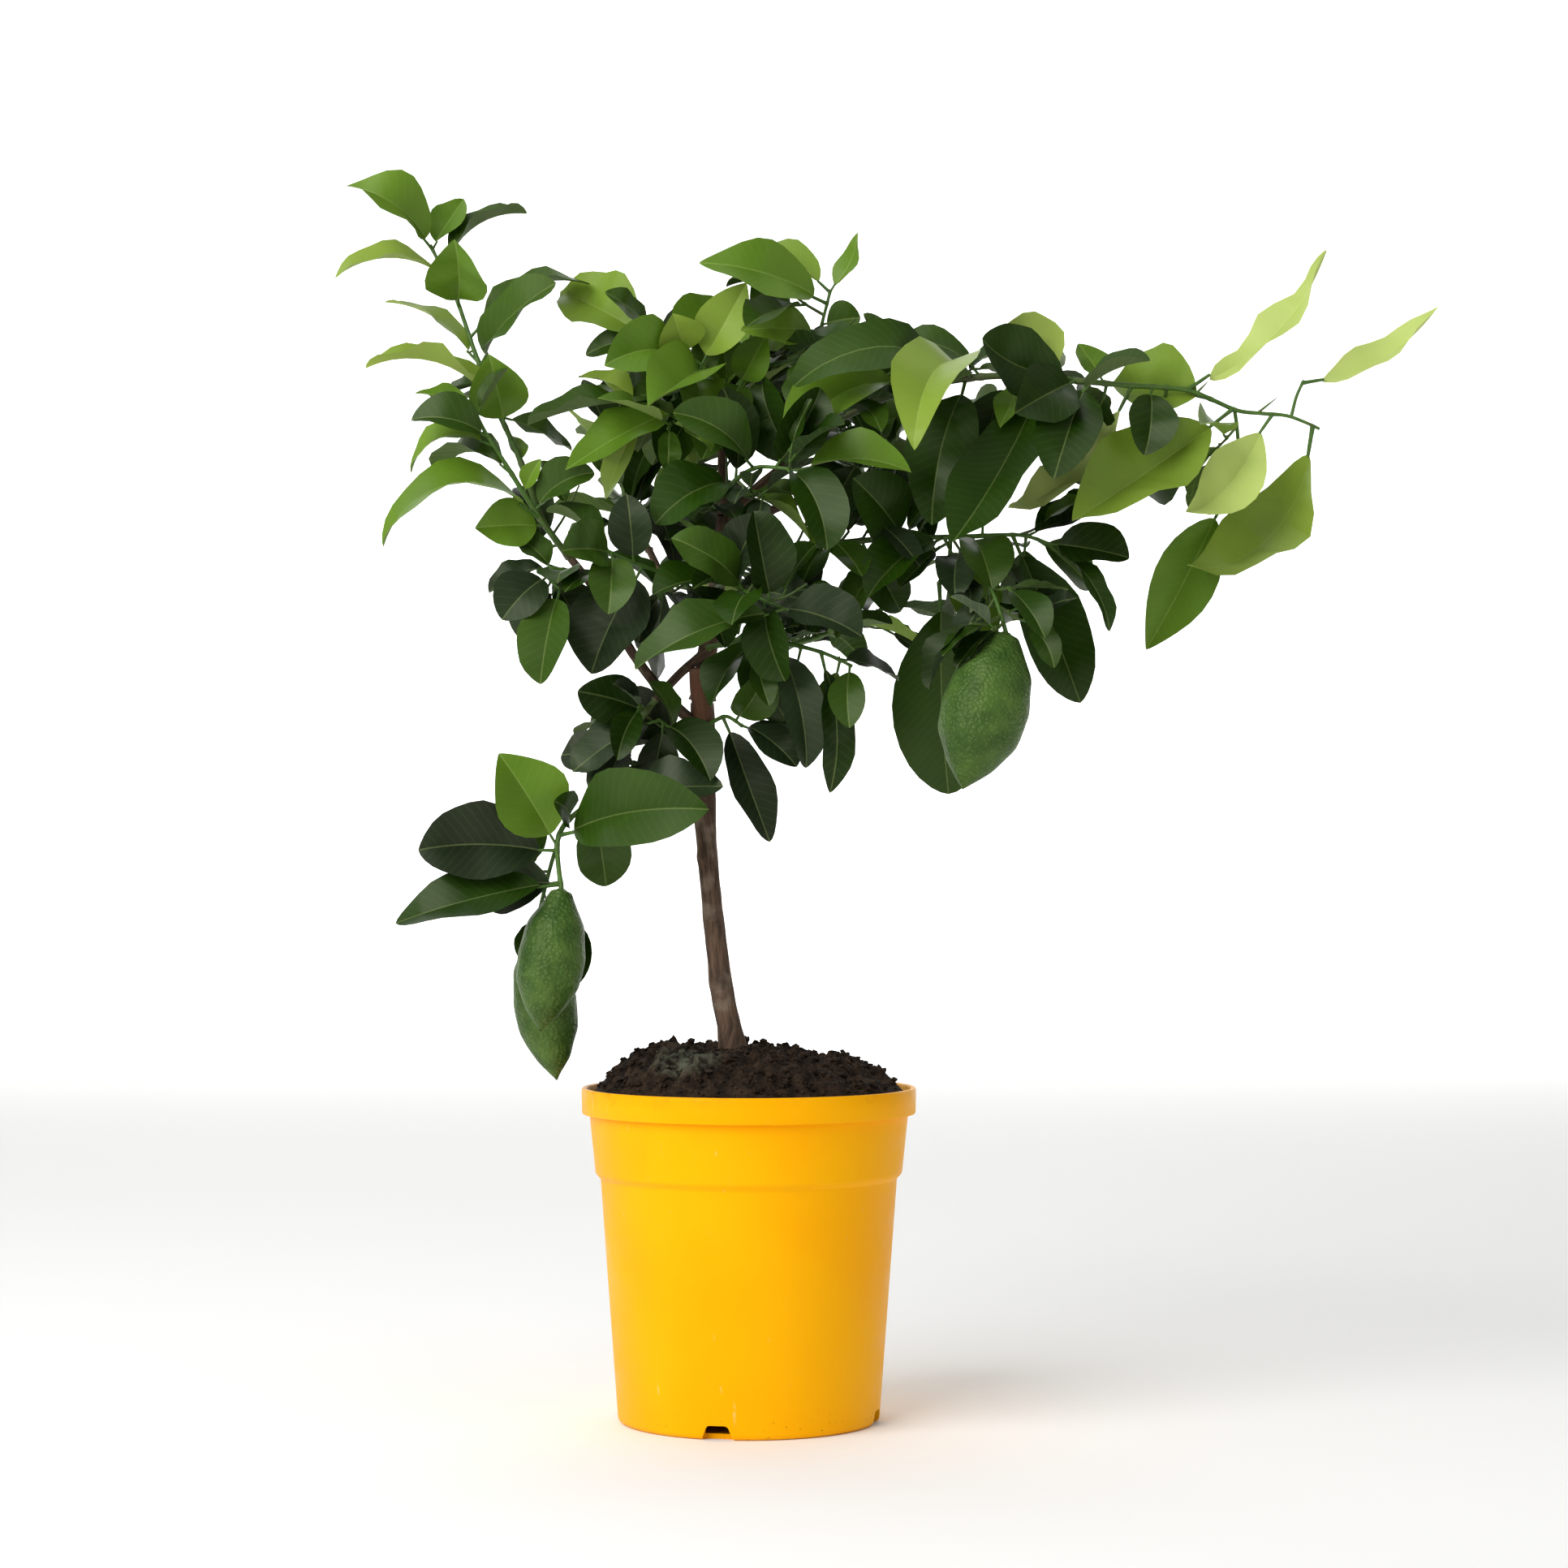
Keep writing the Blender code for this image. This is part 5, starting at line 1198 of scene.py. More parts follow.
def bark_material():
    """Grey-brown young bark, matt, with fine lengthwise cracks, pale patches and a redder old cut."""
    material, tree, shader = new_material("young_citrus_bark")
    place = put(tree, "TexCoord", out="Object")
    chart = put(tree, "TexCoord", out="UV")
    scale = [UV_UNIT / size for size in BARK_CRACK] + [1.0]
    stretched = put(tree, "Mapping", {"Vector": chart, "Scale": scale})
    cracks = put(tree, "TexNoise", {"Vector": stretched, "Scale": 1.0, "Detail": 5.0,
                                    "Roughness": 0.65, "Distortion": 0.4})
    patches = put(tree, "TexNoise", {"Vector": place, "Scale": repeats(BARK_PATCH), "Detail": 3.0})
    ridges = put(tree, "MapRange", {0: cracks, 1: 0.3, 2: 0.7}, **SOFT)
    body = put(tree, "Mix", {0: ridges, 6: "#382A1E", 7: "#6C5442"}, **COLOURS)
    paleness = put(tree, "MapRange", {0: patches, 1: 0.52, 2: 0.7, 4: 0.6}, **SOFT)
    pale = put(tree, "Mix", {0: paleness, 6: body, 7: "#8C7C6A"}, **COLOURS)
    cut = put(tree, "Attribute", out="Fac", attribute_name="cut")
    wood = put(tree, "Mix", {0: cut, 6: pale, 7: "#6E4630"}, **COLOURS)
    bump = put(tree, "Bump", {"Height": cracks, "Distance": 1.2 * MM, "Strength": 1.0})
    feed(tree, shader, {"Base Color": wood, "Roughness": 0.86, "IOR": 1.45, "Normal": bump})
    return material


# %% Make the trunk and boughs as one mesh with relief
BARK_STEP = 1.4           # millimetres between two rings
BARK_SPACING = 1.0        # and between two corners of a ring
BARK_SIDES = 14           # at least
BARK_STEPS = 3            # points of a bough's middle line for each point of its path
BURIED = 4.0              # how far the trunk goes down into the soil
STUB_CUT = 0.7            # how red the old cut is
LUMPS = (14.0, 0.08)      # length of the slow lumps, and their height as a share of the radius
LUMP_NARROWING = 1.6      # how much narrower than long a lump is
LIMB_DRIFT = 17.0         # moves the noise on with a limb's radius, so that no two are alike
RIDGES = (2.2, 9.0, 0.045)  # width and length of the bark's ridges, and their height share
COLLAR = (9.0, 0.3)       # reach and height share of the swelling where a bough begins
KNOTS = [                 # limb, share, angle in degrees, radius, height
    ("trunk", 0.57, 180, 7.0, 1.6), ("trunk", 0.93, 200, 8.0, 2.0), ("trunk", 0.3, 20, 5.0, 0.9),
    ("leader", 0.35, 30, 5.0, 1.2), ("trunk", 0.78, 330, 6.0, 1.2),
]
STUB = ([(-27, 0, 419), (-30, -5, 434), (-31, -8, 449)], 5.6, 4.9)  # an old pruned shoot at the fork


def bark_shape(path, radii, collar, knots=(), cut=0.0):
    """Corners, faces, map and cut mark of one limb, its surface moved out and in by noise."""
    lengths = np.cumsum([0.0] + stretches(path))
    total = lengths[-1]
    rings = int(total / BARK_STEP)
    sides = max(int(math.tau * max(radii) / BARK_SPACING), BARK_SIDES)
    spine = [along_path(path, k / rings)[0] for k in range(rings + 1)]
    girths = np.interp(np.linspace(0, total, rings + 1), lengths, radii)
    drift = Vector((radii[0] * LIMB_DRIFT, total, 0))
    for k in range(rings + 1):
        swell = collar * max(0.0, 1 - (total * k / rings) / COLLAR[0]) ** 2
        girths[k] *= 1 + swell
    corners, faces = tube_shape(spine, list(girths), sides)
    chart = []
    for k, middle in enumerate(spine):
        along = total * k / rings
        for s in range(sides):
            angle = math.tau * s / sides
            radius = girths[k]
            ring = Vector((math.cos(angle), math.sin(angle), 0)) * radius
            lump_place = ring / LUMPS[0] * LUMP_NARROWING + Vector((0, 0, along / LUMPS[0]))
            slow = noise.noise(lump_place + drift)
            fast = noise.noise(ring / RIDGES[0] + Vector((0, 0, along / RIDGES[1])) + drift)
            push = radius * (LUMPS[1] * slow + RIDGES[2] * fast)
            for share, turn, reach, height in knots:
                turned = (angle - math.radians(turn) + math.pi) % math.tau - math.pi
                far = math.hypot(turned * radius, along - share * total) / reach
                push += height * max(0.0, 1 - far ** 2) ** 2
            n = k * sides + s
            corners[n] = corners[n] + (corners[n] - middle).normalized() * push
            chart.append((angle * radius / UV_UNIT, along / UV_UNIT))
    return corners, faces, chart, [cut] * len(corners)


bark_parts = []
buried = [trunk_path[0] - Vector((0, 0, BURIED))] + trunk_path
trunk_knots = [knot[1:] for knot in KNOTS if knot[0] == "trunk"]
bark_parts.append(bark_shape(buried, [trunk_radii[0]] + trunk_radii, 0.0, trunk_knots))
for name, (_, start_radius, end_radius) in LIMBS.items():
    path = smooth_path(limb_paths[name], BARK_STEPS)
    knots = [knot[1:] for knot in KNOTS if knot[0] == name]
    bark_parts.append(bark_shape(path, tapered(path, start_radius, end_radius), COLLAR[1], knots))
stub_path = smooth_path([spot(*p) for p in STUB[0]], BARK_STEPS)
bark_parts.append(bark_shape(stub_path, tapered(stub_path, *STUB[1:]), 0.0, cut=STUB_CUT))
corners, faces, chart, cut = joined(bark_parts)
bark = make_piece("trunk_and_boughs", corners, faces, [bark_material()], chart=chart,
                  marks={"cut": cut})
hand_over(bark, "bark", *limb_paths)
print("bark:", len(faces), "faces")

# %% [markdown]
# ## Fruits
# Three unripe lemons hang from the tree. A lemon is an oval with a neck at its stalk and a nipple at
# its tip, and its rind is pitted by oil glands about 1.5 mm apart. A ball is shaped ring by ring to
# the fruit's outline, and a cell pattern then sinks its corners, so the pits are in the mesh too.

# %% Rind material
GLAND = 2.326             # coarser than the real oil glands, so that they show
RIND_PATCH = 14.29        # size of the lighter and darker patches


def rind_material():
    """Green lemon rind: waxy, with darker pits and paler specks between them."""
    material, tree, shader = new_material("green_lemon_rind")
    place = put(tree, "TexCoord", out="Object")
    glands = put(tree, "TexVoronoi", {"Vector": place, "Scale": repeats(GLAND)})
    patches = put(tree, "TexNoise", {"Vector": place, "Scale": repeats(RIND_PATCH), "Detail": 4.0})
    depth = put(tree, "MapRange", {0: patches, 1: 0.25, 2: 0.75}, **SOFT)
    skin = put(tree, "Mix", {0: depth, 6: "#2F4C1B", 7: "#4B682B"}, **COLOURS)
    speck = put(tree, "MapRange", {0: glands, 1: 0.0, 2: 0.4, 3: 0.3, 4: 0.0}, **SOFT)
    pitted = put(tree, "Mix", {0: speck, 6: skin, 7: "#7E9458"}, **COLOURS)
    bump = put(tree, "Bump", {"Height": glands, "Distance": 1.0 * MM, "Strength": 0.7})
    feed(tree, shader, {"Base Color": pitted, "Roughness": 0.42, "IOR": 1.45, "Normal": bump,
                        "Specular IOR Level": 0.35, "Specular Tint": "#F0F0C8"})
    return material


# %% Shape one lemon and copy it to the three fruits
PIT_SPACING = 1.9         # a little wider than the real 1.5 mm, so that the pits show
PIT_DEPTH = 0.4
RIND_LUMP = (13.0, 0.5)   # size and height of the slow bumps of the rind
CALYX = {-0.6: 2.2, -0.1: 2.9, 0.4: 3.6, 1.2: 3.42, 1.8: 2.0}  # place along the fruit: radius
CALYX_SIDES = 15
CALYX_WOOD = 0.1
FRUIT_RINGS = 56
FRUIT_SEGMENTS = 72


def enter_edit():
    """Goes into edit mode."""
    bpy.ops.object.mode_set(mode="EDIT")


def leave_edit():
    """Goes back to object mode."""
    bpy.ops.object.mode_set(mode="OBJECT")


def only(piece):
    """Selects one object, makes it active and returns its mesh."""
    bpy.ops.object.select_all(action="DESELECT")
    piece.select_set(True)
    bpy.context.view_layer.objects.active = piece
    return piece.data


def pick(mesh, test):
    """Selects the corners that pass a test, and nothing else, before edit mode is entered."""
    mesh.edges.foreach_set("select", [False] * len(mesh.edges))
    mesh.polygons.foreach_set("select", [False] * len(mesh.polygons))
    mesh.vertices.foreach_set("select", [test(v.co) for v in mesh.vertices])


def apply_all(piece):
    """Applies every modifier of an object, in order."""
    only(piece)
    for modifier in list(piece.modifiers):
        bpy.ops.object.modifier_apply(modifier=modifier.name)


def join_all(pieces):
    """Joins several objects into the first of them and returns it."""
    only(pieces[0])
    for piece in pieces:
        piece.select_set(True)
    bpy.ops.object.join()
    return bpy.context.object


shares, halves = zip((0.0, 0.0), *FRUIT_PROFILE, (1.0, 0.0))
bpy.ops.object.select_all(action="DESELECT")
bpy.ops.mesh.primitive_uv_sphere_add(segments=FRUIT_SEGMENTS, ring_count=FRUIT_RINGS, radius=0.5)
lemon = bpy.context.object
lemon.name = "lemon"
heights = sorted({round(v.co.z, 5) for v in lemon.data.vertices})
for height in heights[1:-1]:
    share = 0.5 - height
    round_half = math.sqrt(0.25 - height * height)
    wanted = np.interp(share, shares, halves)
    pick(lemon.data, lambda co: abs(co.z - height) < 0.0001)
    enter_edit()
    scale = wanted / round_half
    bpy.ops.transform.resize(value=(scale, scale, 1.0), center_override=(0, 0, height))
    leave_edit()
only(lemon)
smoother = lemon.modifiers.new("smoother", "SMOOTH")
smoother.factor = 0.6
smoother.iterations = 6
apply_all(lemon)
print("lemon outline set on", len(heights) - 2, "rings")

rind = rind_material()
fruits = []
calyxes = []
for n, (top, tip, radius) in enumerate(fruit_places):
    fruit = add_object(f"lemon_{n + 1}", lemon.data.copy())
    axis = tip - top
    turn = axis.to_track_quat("-Z", "Y").to_matrix().to_4x4()
    middle = (top + tip) / 2 * MM
    size = Matrix.Diagonal((radius * MM, radius * MM, axis.length * MM, 1.0))
    fruit.data.transform(Matrix.Translation(middle) @ turn @ size)
    fruit.data.materials.append(rind)
    for v in fruit.data.vertices:
        place = v.co / MM
        to_gland = noise.voronoi(place / PIT_SPACING)[0][0]
        slow = noise.noise(place / RIND_LUMP[0] + Vector((n, 0, 0))) * RIND_LUMP[1]
        v.co += v.normal * (slow - PIT_DEPTH * max(0.0, 1 - 2 * to_gland)) * MM
    fruit.data.shade_smooth()
    fruits.append(fruit)
    path = [top + axis.normalized() * step for step in CALYX]
    calyxes.append(tube_shape(path, list(CALYX.values()), CALYX_SIDES))
bpy.data.objects.remove(lemon)
fruit_piece = join_all(fruits)
fruit_piece.name = "lemons"
hand_over(fruit_piece, "foliage", *sorted({name for name, *_ in FRUITS}))
corners, faces = joined(calyxes)
calyx_piece = make_piece("calyxes", corners, faces, [bpy.data.materials["citrus_shoot_skin"]],
                         marks={"wood": [CALYX_WOOD] * len(corners)})
hand_over(calyx_piece, "foliage")
print("lemons:", len(fruit_piece.data.polygons), "faces")

# %% [markdown]
# ## The pot
# The pot is injection-moulded polypropylene: a thin tapered shell with a broad band above its
# waist, a rim that stands out, and notches in its foot that let water drain. It could be turned
# with a spin, but growing it ring by ring from the disc of its underside keeps the shell closed:
# the same face is extruded up the outside, over the rim and down to the floor inside.

# %% Pot material
SPLASHED = 18.0           # height up to which there are specks of soil
SMUDGED = 11.0            # depth of the rim's film
POT_CLOUD = 71.43         # size of the slow change of tone, of a speck, and of a smudge
POT_SPECK = 2.381
POT_FILM = 18.18
POT_SCUFF = (3.846, 3.846, 25.0)  # size of a scuff, which is narrow across and long upwards


def plastic_material():
    """Satin yellow polypropylene with scuffs, a smudge on the rim and specks of soil at the foot."""
    material, tree, shader = new_material("moulded_polypropylene_yellow")
    place = put(tree, "TexCoord", out="Object")
    height = put(tree, "SeparateXYZ", {0: place}, "Z")
    cloudy = put(tree, "TexNoise", {"Vector": place, "Scale": repeats(POT_CLOUD)})
    clouds = put(tree, "MapRange", {0: cloudy, 1: 0.35, 2: 0.65}, **SOFT)
    ground = put(tree, "Mix", {0: clouds, 6: "#FFB001", 7: "#FFB604"}, **COLOURS)
    specks = put(tree, "TexNoise", {"Vector": place, "Scale": repeats(POT_SPECK), "Detail": 3.0})
    low = put(tree, "MapRange", {0: height, 1: 0.0, 2: SPLASHED * MM, 3: 1.0, 4: 0.0}, **SOFT)
    spots = put(tree, "MapRange", {0: specks, 1: 0.66, 2: 0.72}, **SOFT)
    soil_marks = put(tree, "Math", {0: low, 1: spots}, operation="MULTIPLY")
    faint = put(tree, "Math", {0: soil_marks, 1: 0.75}, operation="MULTIPLY")
    dirty = put(tree, "Mix", {0: faint, 6: ground, 7: "#4A3420"}, **COLOURS)
    rim = put(tree, "MapRange", {0: height, 1: (POT_HEIGHT - SMUDGED) * MM, 2: POT_HEIGHT * MM}, **SOFT)
    film = put(tree, "TexNoise", {"Vector": place, "Scale": repeats(POT_FILM), "Detail": 5.0,
                                  "Roughness": 0.7})
    dust = put(tree, "MapRange", {0: film, 1: 0.5, 2: 0.72, 3: 0.14, 4: 0.55}, **SOFT)
    smudge = put(tree, "Math", {0: rim, 1: dust}, operation="MULTIPLY")
    smudged = put(tree, "Mix", {0: smudge, 6: dirty, 7: "#C27A12"}, **COLOURS)
    brushed = put(tree, "Mapping", {"Vector": place, "Scale": [repeats(size) for size in POT_SCUFF]})
    scuffs = put(tree, "TexNoise", {"Vector": brushed, "Scale": 1.0, "Detail": 4.0})
    lines = put(tree, "MapRange", {0: scuffs, 1: 0.66, 2: 0.72, 4: 0.25}, **SOFT)
    worn = put(tree, "MapRange", {0: film, 1: 0.5, 2: 0.62}, **SOFT)
    scratched = put(tree, "Math", {0: lines, 1: worn}, operation="MULTIPLY")
    plastic = put(tree, "Mix", {0: scratched, 6: smudged, 7: "#FFE9A8"}, **COLOURS)
    gloss = put(tree, "MapRange", {0: film, 1: 0.3, 2: 0.7, 3: 0.34, 4: 0.5}, **SOFT)
    bump = put(tree, "Bump", {"Height": specks, "Distance": 0.2 * MM, "Strength": 0.25})
    feed(tree, shader, {"Base Color": plastic, "Roughness": gloss, "IOR": 1.49, "Normal": bump,
                        "Specular IOR Level": 0.12, "Specular Tint": "#FFE7A0"})
    return material


# %% Grow the pot from its underside
POT_SIDES = 144
POT_SHARP = 38.0          # degrees from which an edge isn't shaded round


def pot_rings():
    """Radius and height of each ring, up the outside, over the rim and down the inside."""
    rim, foot, body, band = POT_RIM_RADIUS, POT_FOOT_RADIUS, POT_BODY_RADIUS, POT_BAND_RADIUS
    upper, wall = rim - POT_RIM_STEP, POT_WALL
    waist, under, top = POT_BAND_BOTTOM, POT_HEIGHT - POT_RIM_DEPTH, POT_HEIGHT
    # A few tenths of a millimetre in or out make each edge round
    outside = [(foot - POT_FOOT_ROUND, 0.0), (foot - 2.0, 0.3), (foot - 0.9, 1.1), (foot - 0.2, 2.2),
               (foot, POT_FOOT_ROUND), (body - 0.1, waist - 2.6), (body, waist - 2.0),
               (body + 0.9, waist - 0.9), (band - 0.9, waist + 0.6), (band - 0.2, waist + 1.7),
               (band, waist + 3.2), (upper, under - 0.4), (upper + 0.4, under), (rim - 1.6, under),
               (rim - 0.7, under + 0.3), (rim - 0.3, under + 1.1), (rim, top - 1.6),
               (rim - 0.2, top - 0.7), (rim - 0.8, top)]
    inside = [(rim - wall - 0.6, top), (rim - wall - 1.2, top - 0.4), (rim - wall - 1.4, top - 1.2),
              (upper - wall, under - 2.0), (band - wall, waist + 2.0), (body - wall, waist - 3.0),
              (foot - wall, POT_FLOOR + 3.0), (foot - wall - 3.0, POT_FLOOR)]
    return outside + inside


rings = pot_rings()
bpy.ops.object.select_all(action="DESELECT")
bpy.ops.mesh.primitive_circle_add(vertices=POT_SIDES, radius=rings[0][0] * MM, fill_type="NGON")
pot = bpy.context.object
pot.name = "flower_pot"
enter_edit()
bpy.ops.mesh.select_all(action="SELECT")
for (radius, height), (next_radius, next_height) in zip(rings, rings[1:]):
    rise = (next_height - height) * MM
    bpy.ops.mesh.extrude_region_move(TRANSFORM_OT_translate={"value": (0, 0, rise)})
    scale = next_radius / radius
    bpy.ops.transform.resize(value=(scale, scale, 1.0), center_override=(0, 0, next_height * MM))
bpy.ops.mesh.select_all(action="SELECT")
bpy.ops.mesh.normals_make_consistent(inside=False)
leave_edit()
print("pot:", [round(d / MM, 1) for d in pot.dimensions], "mm")

# %% Cut the notches in its foot
bpy.ops.object.select_all(action="DESELECT")
bpy.ops.mesh.primitive_cube_add(size=1.0)
cutter = bpy.context.object
block_depth = NOTCH_DEPTH + NOTCH_OVERCUT
for v in cutter.data.vertices:
    width = NOTCH_TOP_WIDTH if v.co.z > 0 else 2 * NOTCH_WIDTH - NOTCH_TOP_WIDTH
    v.co = (v.co.x * block_depth * MM, v.co.y * width * MM, v.co.z * 2 * NOTCH_HEIGHT * MM)
softened = cutter.modifiers.new("softened", "BEVEL")
softened.width = NOTCH_ROUND * MM
softened.segments = 3
apply_all(cutter)
copies = []
for k in range(NOTCH_COUNT):
    angle = math.radians(NOTCH_ANGLE + 360 * k / NOTCH_COUNT)
    block = add_object(f"notch_{k}", cutter.data.copy())
    out = (POT_FOOT_RADIUS - NOTCH_DEPTH + block_depth / 2) * MM
    block.data.transform(Matrix.Rotation(angle, 4, "Z") @ Matrix.Translation((out, 0, 0)))
    copies.append(block)
bpy.data.objects.remove(cutter)
cutters = join_all(copies)
cut = pot.modifiers.new("notches", "BOOLEAN")
cut.operation = "DIFFERENCE"
cut.solver = "EXACT"
cut.object = cutters
apply_all(pot)
bpy.data.objects.remove(cutters)
only(pot)
pot.data.shade_smooth()
pot.data.set_sharp_from_angle(angle=math.radians(POT_SHARP))
pot.data.materials.clear()
pot.data.materials.append(plastic_material())
hand_over(pot, "pot_plastic", "pot")
print("pot with", NOTCH_COUNT, "notches:", len(pot.data.polygons), "faces")

# %% [markdown]
# ## The soil
# Potting mix is peat and bark fines: almost black, crumbly and matt, heaped towards the trunk. A
# disc is drawn in rings and raised by noise of several sizes, from the heap itself down to crumbs,
# and loose crumbs are scattered on it. Each crumb is one of a few small rough stones of 20 faces.

# %% Soil material
MOSS_PLACE = (-36.0, -50.0, 218.0)  # the middle of the greenish patch
MOSS_REACH = (8.0, 26.0)  # where the patch starts to fade, and where it ends
SOIL_CLOD = 9.09          # size of a clod, and of a fleck in it
SOIL_FLECK = 1.429


def soil_material():
    """Moist dark potting mix, matt, with lighter crumbs and a faint greenish patch by the trunk."""
    material, tree, shader = new_material("peat_potting_mix")
    place = put(tree, "TexCoord", out="Object")
    coarse = put(tree, "TexNoise", {"Vector": place, "Scale": repeats(SOIL_CLOD), "Detail": 6.0,
                                    "Roughness": 0.7})
    fine = put(tree, "TexNoise", {"Vector": place, "Scale": repeats(SOIL_FLECK), "Detail": 3.0})
    clods = put(tree, "MapRange", {0: coarse, 1: 0.35, 2: 0.7}, **SOFT)
    body = put(tree, "Mix", {0: clods, 6: "#120C08", 7: "#3C2E22"}, **COLOURS)
    flecks = put(tree, "MapRange", {0: fine, 1: 0.6, 2: 0.72, 4: 0.5}, **SOFT)
    flecked = put(tree, "Mix", {0: flecks, 6: body, 7: "#604E3A"}, **COLOURS)
    middle = [c * MM for c in MOSS_PLACE]
    far = put(tree, "VectorMath", {0: place, 1: middle}, "Value", operation="DISTANCE")
    start, end = (size * MM for size in MOSS_REACH)
    near = put(tree, "MapRange", {0: far, 1: start, 2: end, 3: 0.55, 4: 0.0}, **SOFT)
    damp = put(tree, "MapRange", {0: coarse, 1: 0.4, 2: 0.6}, **SOFT)
    moss = put(tree, "Math", {0: near, 1: damp}, operation="MULTIPLY")
    mix = put(tree, "Mix", {0: moss, 6: flecked, 7: "#6B7361"}, **COLOURS)
    bump = put(tree, "Bump", {"Height": fine, "Distance": 1.0 * MM, "Strength": 0.9})
    feed(tree, shader, {"Base Color": mix, "Roughness": 0.92, "IOR": 1.4, "Normal": bump,
                        "Specular IOR Level": 0.2})
    return material


# %% Raise the soil from a disc of rings
SOIL_SIDES = 220
SOIL_STEP = 1.3           # millimetres between two rings
LUMP_SIZES = ((20.0, 4.0), (8.0, 3.4), (3.6, 1.7), (1.7, 0.7))  # size and height of each layer
SOIL_BOTTOM = 12.0        # how far down the disc's skirt goes, inside the pot
SOIL_INSET = 0.8          # clearance to the pot's wall
SOIL_CALM = 6             # the lumps fade over one part in so many of the radius, at the edge
POT_INNER_RADIUS = POT_RIM_RADIUS - POT_RIM_STEP - POT_WALL


def soil_top(x, y):
    """Height of the heap at a place, with its lumps."""
    share = min(math.hypot(x, y) / POT_INNER_RADIUS, 1.0)
    heap = SOIL_EDGE_HEIGHT + (SOIL_TOP_HEIGHT - SOIL_EDGE_HEIGHT) * (1 - share ** SOIL_HEAP)
    height = heap - SOIL_TILT * x * math.sin(math.pi * min(share * SOIL_SWELL_REACH, 1.0))
    calm = min(1.0, (1 - share) * SOIL_CALM)
    for size, rise in LUMP_SIZES:
        lump = noise.noise(Vector((x / size, y / size, size)))
        height += (abs(lump) * 2 - 0.5) * rise * calm
    return height


edge = POT_INNER_RADIUS - SOIL_INSET
bpy.ops.object.select_all(action="DESELECT")
bpy.ops.mesh.primitive_circle_add(vertices=SOIL_SIDES, radius=edge * MM, fill_type="NOTHING",
                                  location=(0, 0, (SOIL_EDGE_HEIGHT - SOIL_BOTTOM) * MM))
soil = bpy.context.object
soil.name = "potting_soil"
bpy.ops.object.transform_apply(location=True)
enter_edit()
bpy.ops.mesh.select_all(action="SELECT")
bpy.ops.mesh.extrude_edges_move(TRANSFORM_OT_translate={"value": (0, 0, SOIL_BOTTOM * MM)})
radius = edge
while radius > 2 * SOIL_STEP:
    smaller = radius - SOIL_STEP
    bpy.ops.mesh.extrude_edges_move(TRANSFORM_OT_translate={"value": (0, 0, 0)})
    bpy.ops.transform.resize(value=(smaller / radius, smaller / radius, 1.0), center_override=(0, 0, 0))
    radius = smaller
bpy.ops.mesh.merge(type="CENTER")
leave_edit()
for v in soil.data.vertices[SOIL_SIDES:]:
    v.co.z = soil_top(v.co.x / MM, v.co.y / MM) * MM
enter_edit()
bpy.ops.mesh.select_all(action="DESELECT")
bpy.ops.mesh.select_non_manifold()
bpy.ops.mesh.edge_face_add()
bpy.ops.mesh.select_all(action="SELECT")
bpy.ops.mesh.normals_make_consistent(inside=False)
leave_edit()
only(soil)
soil.data.shade_smooth()
earth = soil_material()
soil.data.materials.clear()
soil.data.materials.append(earth)
hand_over(soil, "soil", "soil")
print("soil:", len(soil.data.polygons), "faces")

# %% Scatter crumbs on it
CRUMBS = 1500
CRUMB_RADII = (0.5, 3.2)
CRUMB_KINDS = 4
CRUMB_ROUGHNESS = (0.6, 1.2)  # radius of a crumb's corners
CRUMB_FLAT = Vector((1.0, 1.0, 0.75))
CRUMB_RISE = 0.3          # how high a crumb's middle lies above the soil, for each radius
CRUMB_MARGIN = 1.0        # room between a crumb and the pot
FOOT_CLEARANCE = 9.0      # no crumb starts nearer to the trunk's middle
crumb_shapes = []
for n in range(CRUMB_KINDS):
    bpy.ops.object.select_all(action="DESELECT")
    bpy.ops.mesh.primitive_ico_sphere_add(subdivisions=1, radius=1.0)
    stone = bpy.context.object
    rough = [v.co * chance.uniform(*CRUMB_ROUGHNESS) for v in stone.data.vertices]
    crumb_shapes.append((rough, [tuple(p.vertices) for p in stone.data.polygons]))
    bpy.data.objects.remove(stone)
crumbs = []
foot = spot(*TRUNK_PATH[0])
while len(crumbs) < CRUMBS:
    radius, angle = edge * math.sqrt(chance.random()), chance.uniform(0, math.tau)
    x, y = radius * math.cos(angle), radius * math.sin(angle)
    size = CRUMB_RADII[0] + (CRUMB_RADII[1] - CRUMB_RADII[0]) * chance.random() ** 2
    if radius > edge - size - CRUMB_MARGIN or math.hypot(x - foot.x, y) < FOOT_CLEARANCE + size:
        continue
    turned, axis = chance.uniform(0, math.tau), Vector((chance.random(), 1, chance.random()))
    turn = Matrix.Rotation(turned, 3, axis)
    rough, crumb_faces = crumb_shapes[len(crumbs) % len(crumb_shapes)]
    middle = Vector((x, y, soil_top(x, y) + size * CRUMB_RISE))
    crumbs.append(([middle + (turn @ c) * size * CRUMB_FLAT for c in rough], crumb_faces))
corners, faces = joined(crumbs)
crumb_piece = make_piece("soil_crumbs", corners, faces, [earth], sharp=25.0)
hand_over(crumb_piece, "soil")
print("crumbs:", len(crumbs))

# %% [markdown]
# ## Floor, light and camera
# The photo was taken in soft, bright light from the upper left, on a plain white ground. A large
# soft panel on that side gives the same slow shading, a weaker one fills the other side, and a
# dim sky lights the rest, so the crown stays dark inside. A paper backdrop that is lit from behind
# makes the ground white, as in a studio. The camera is two metres away, low beside the crown.

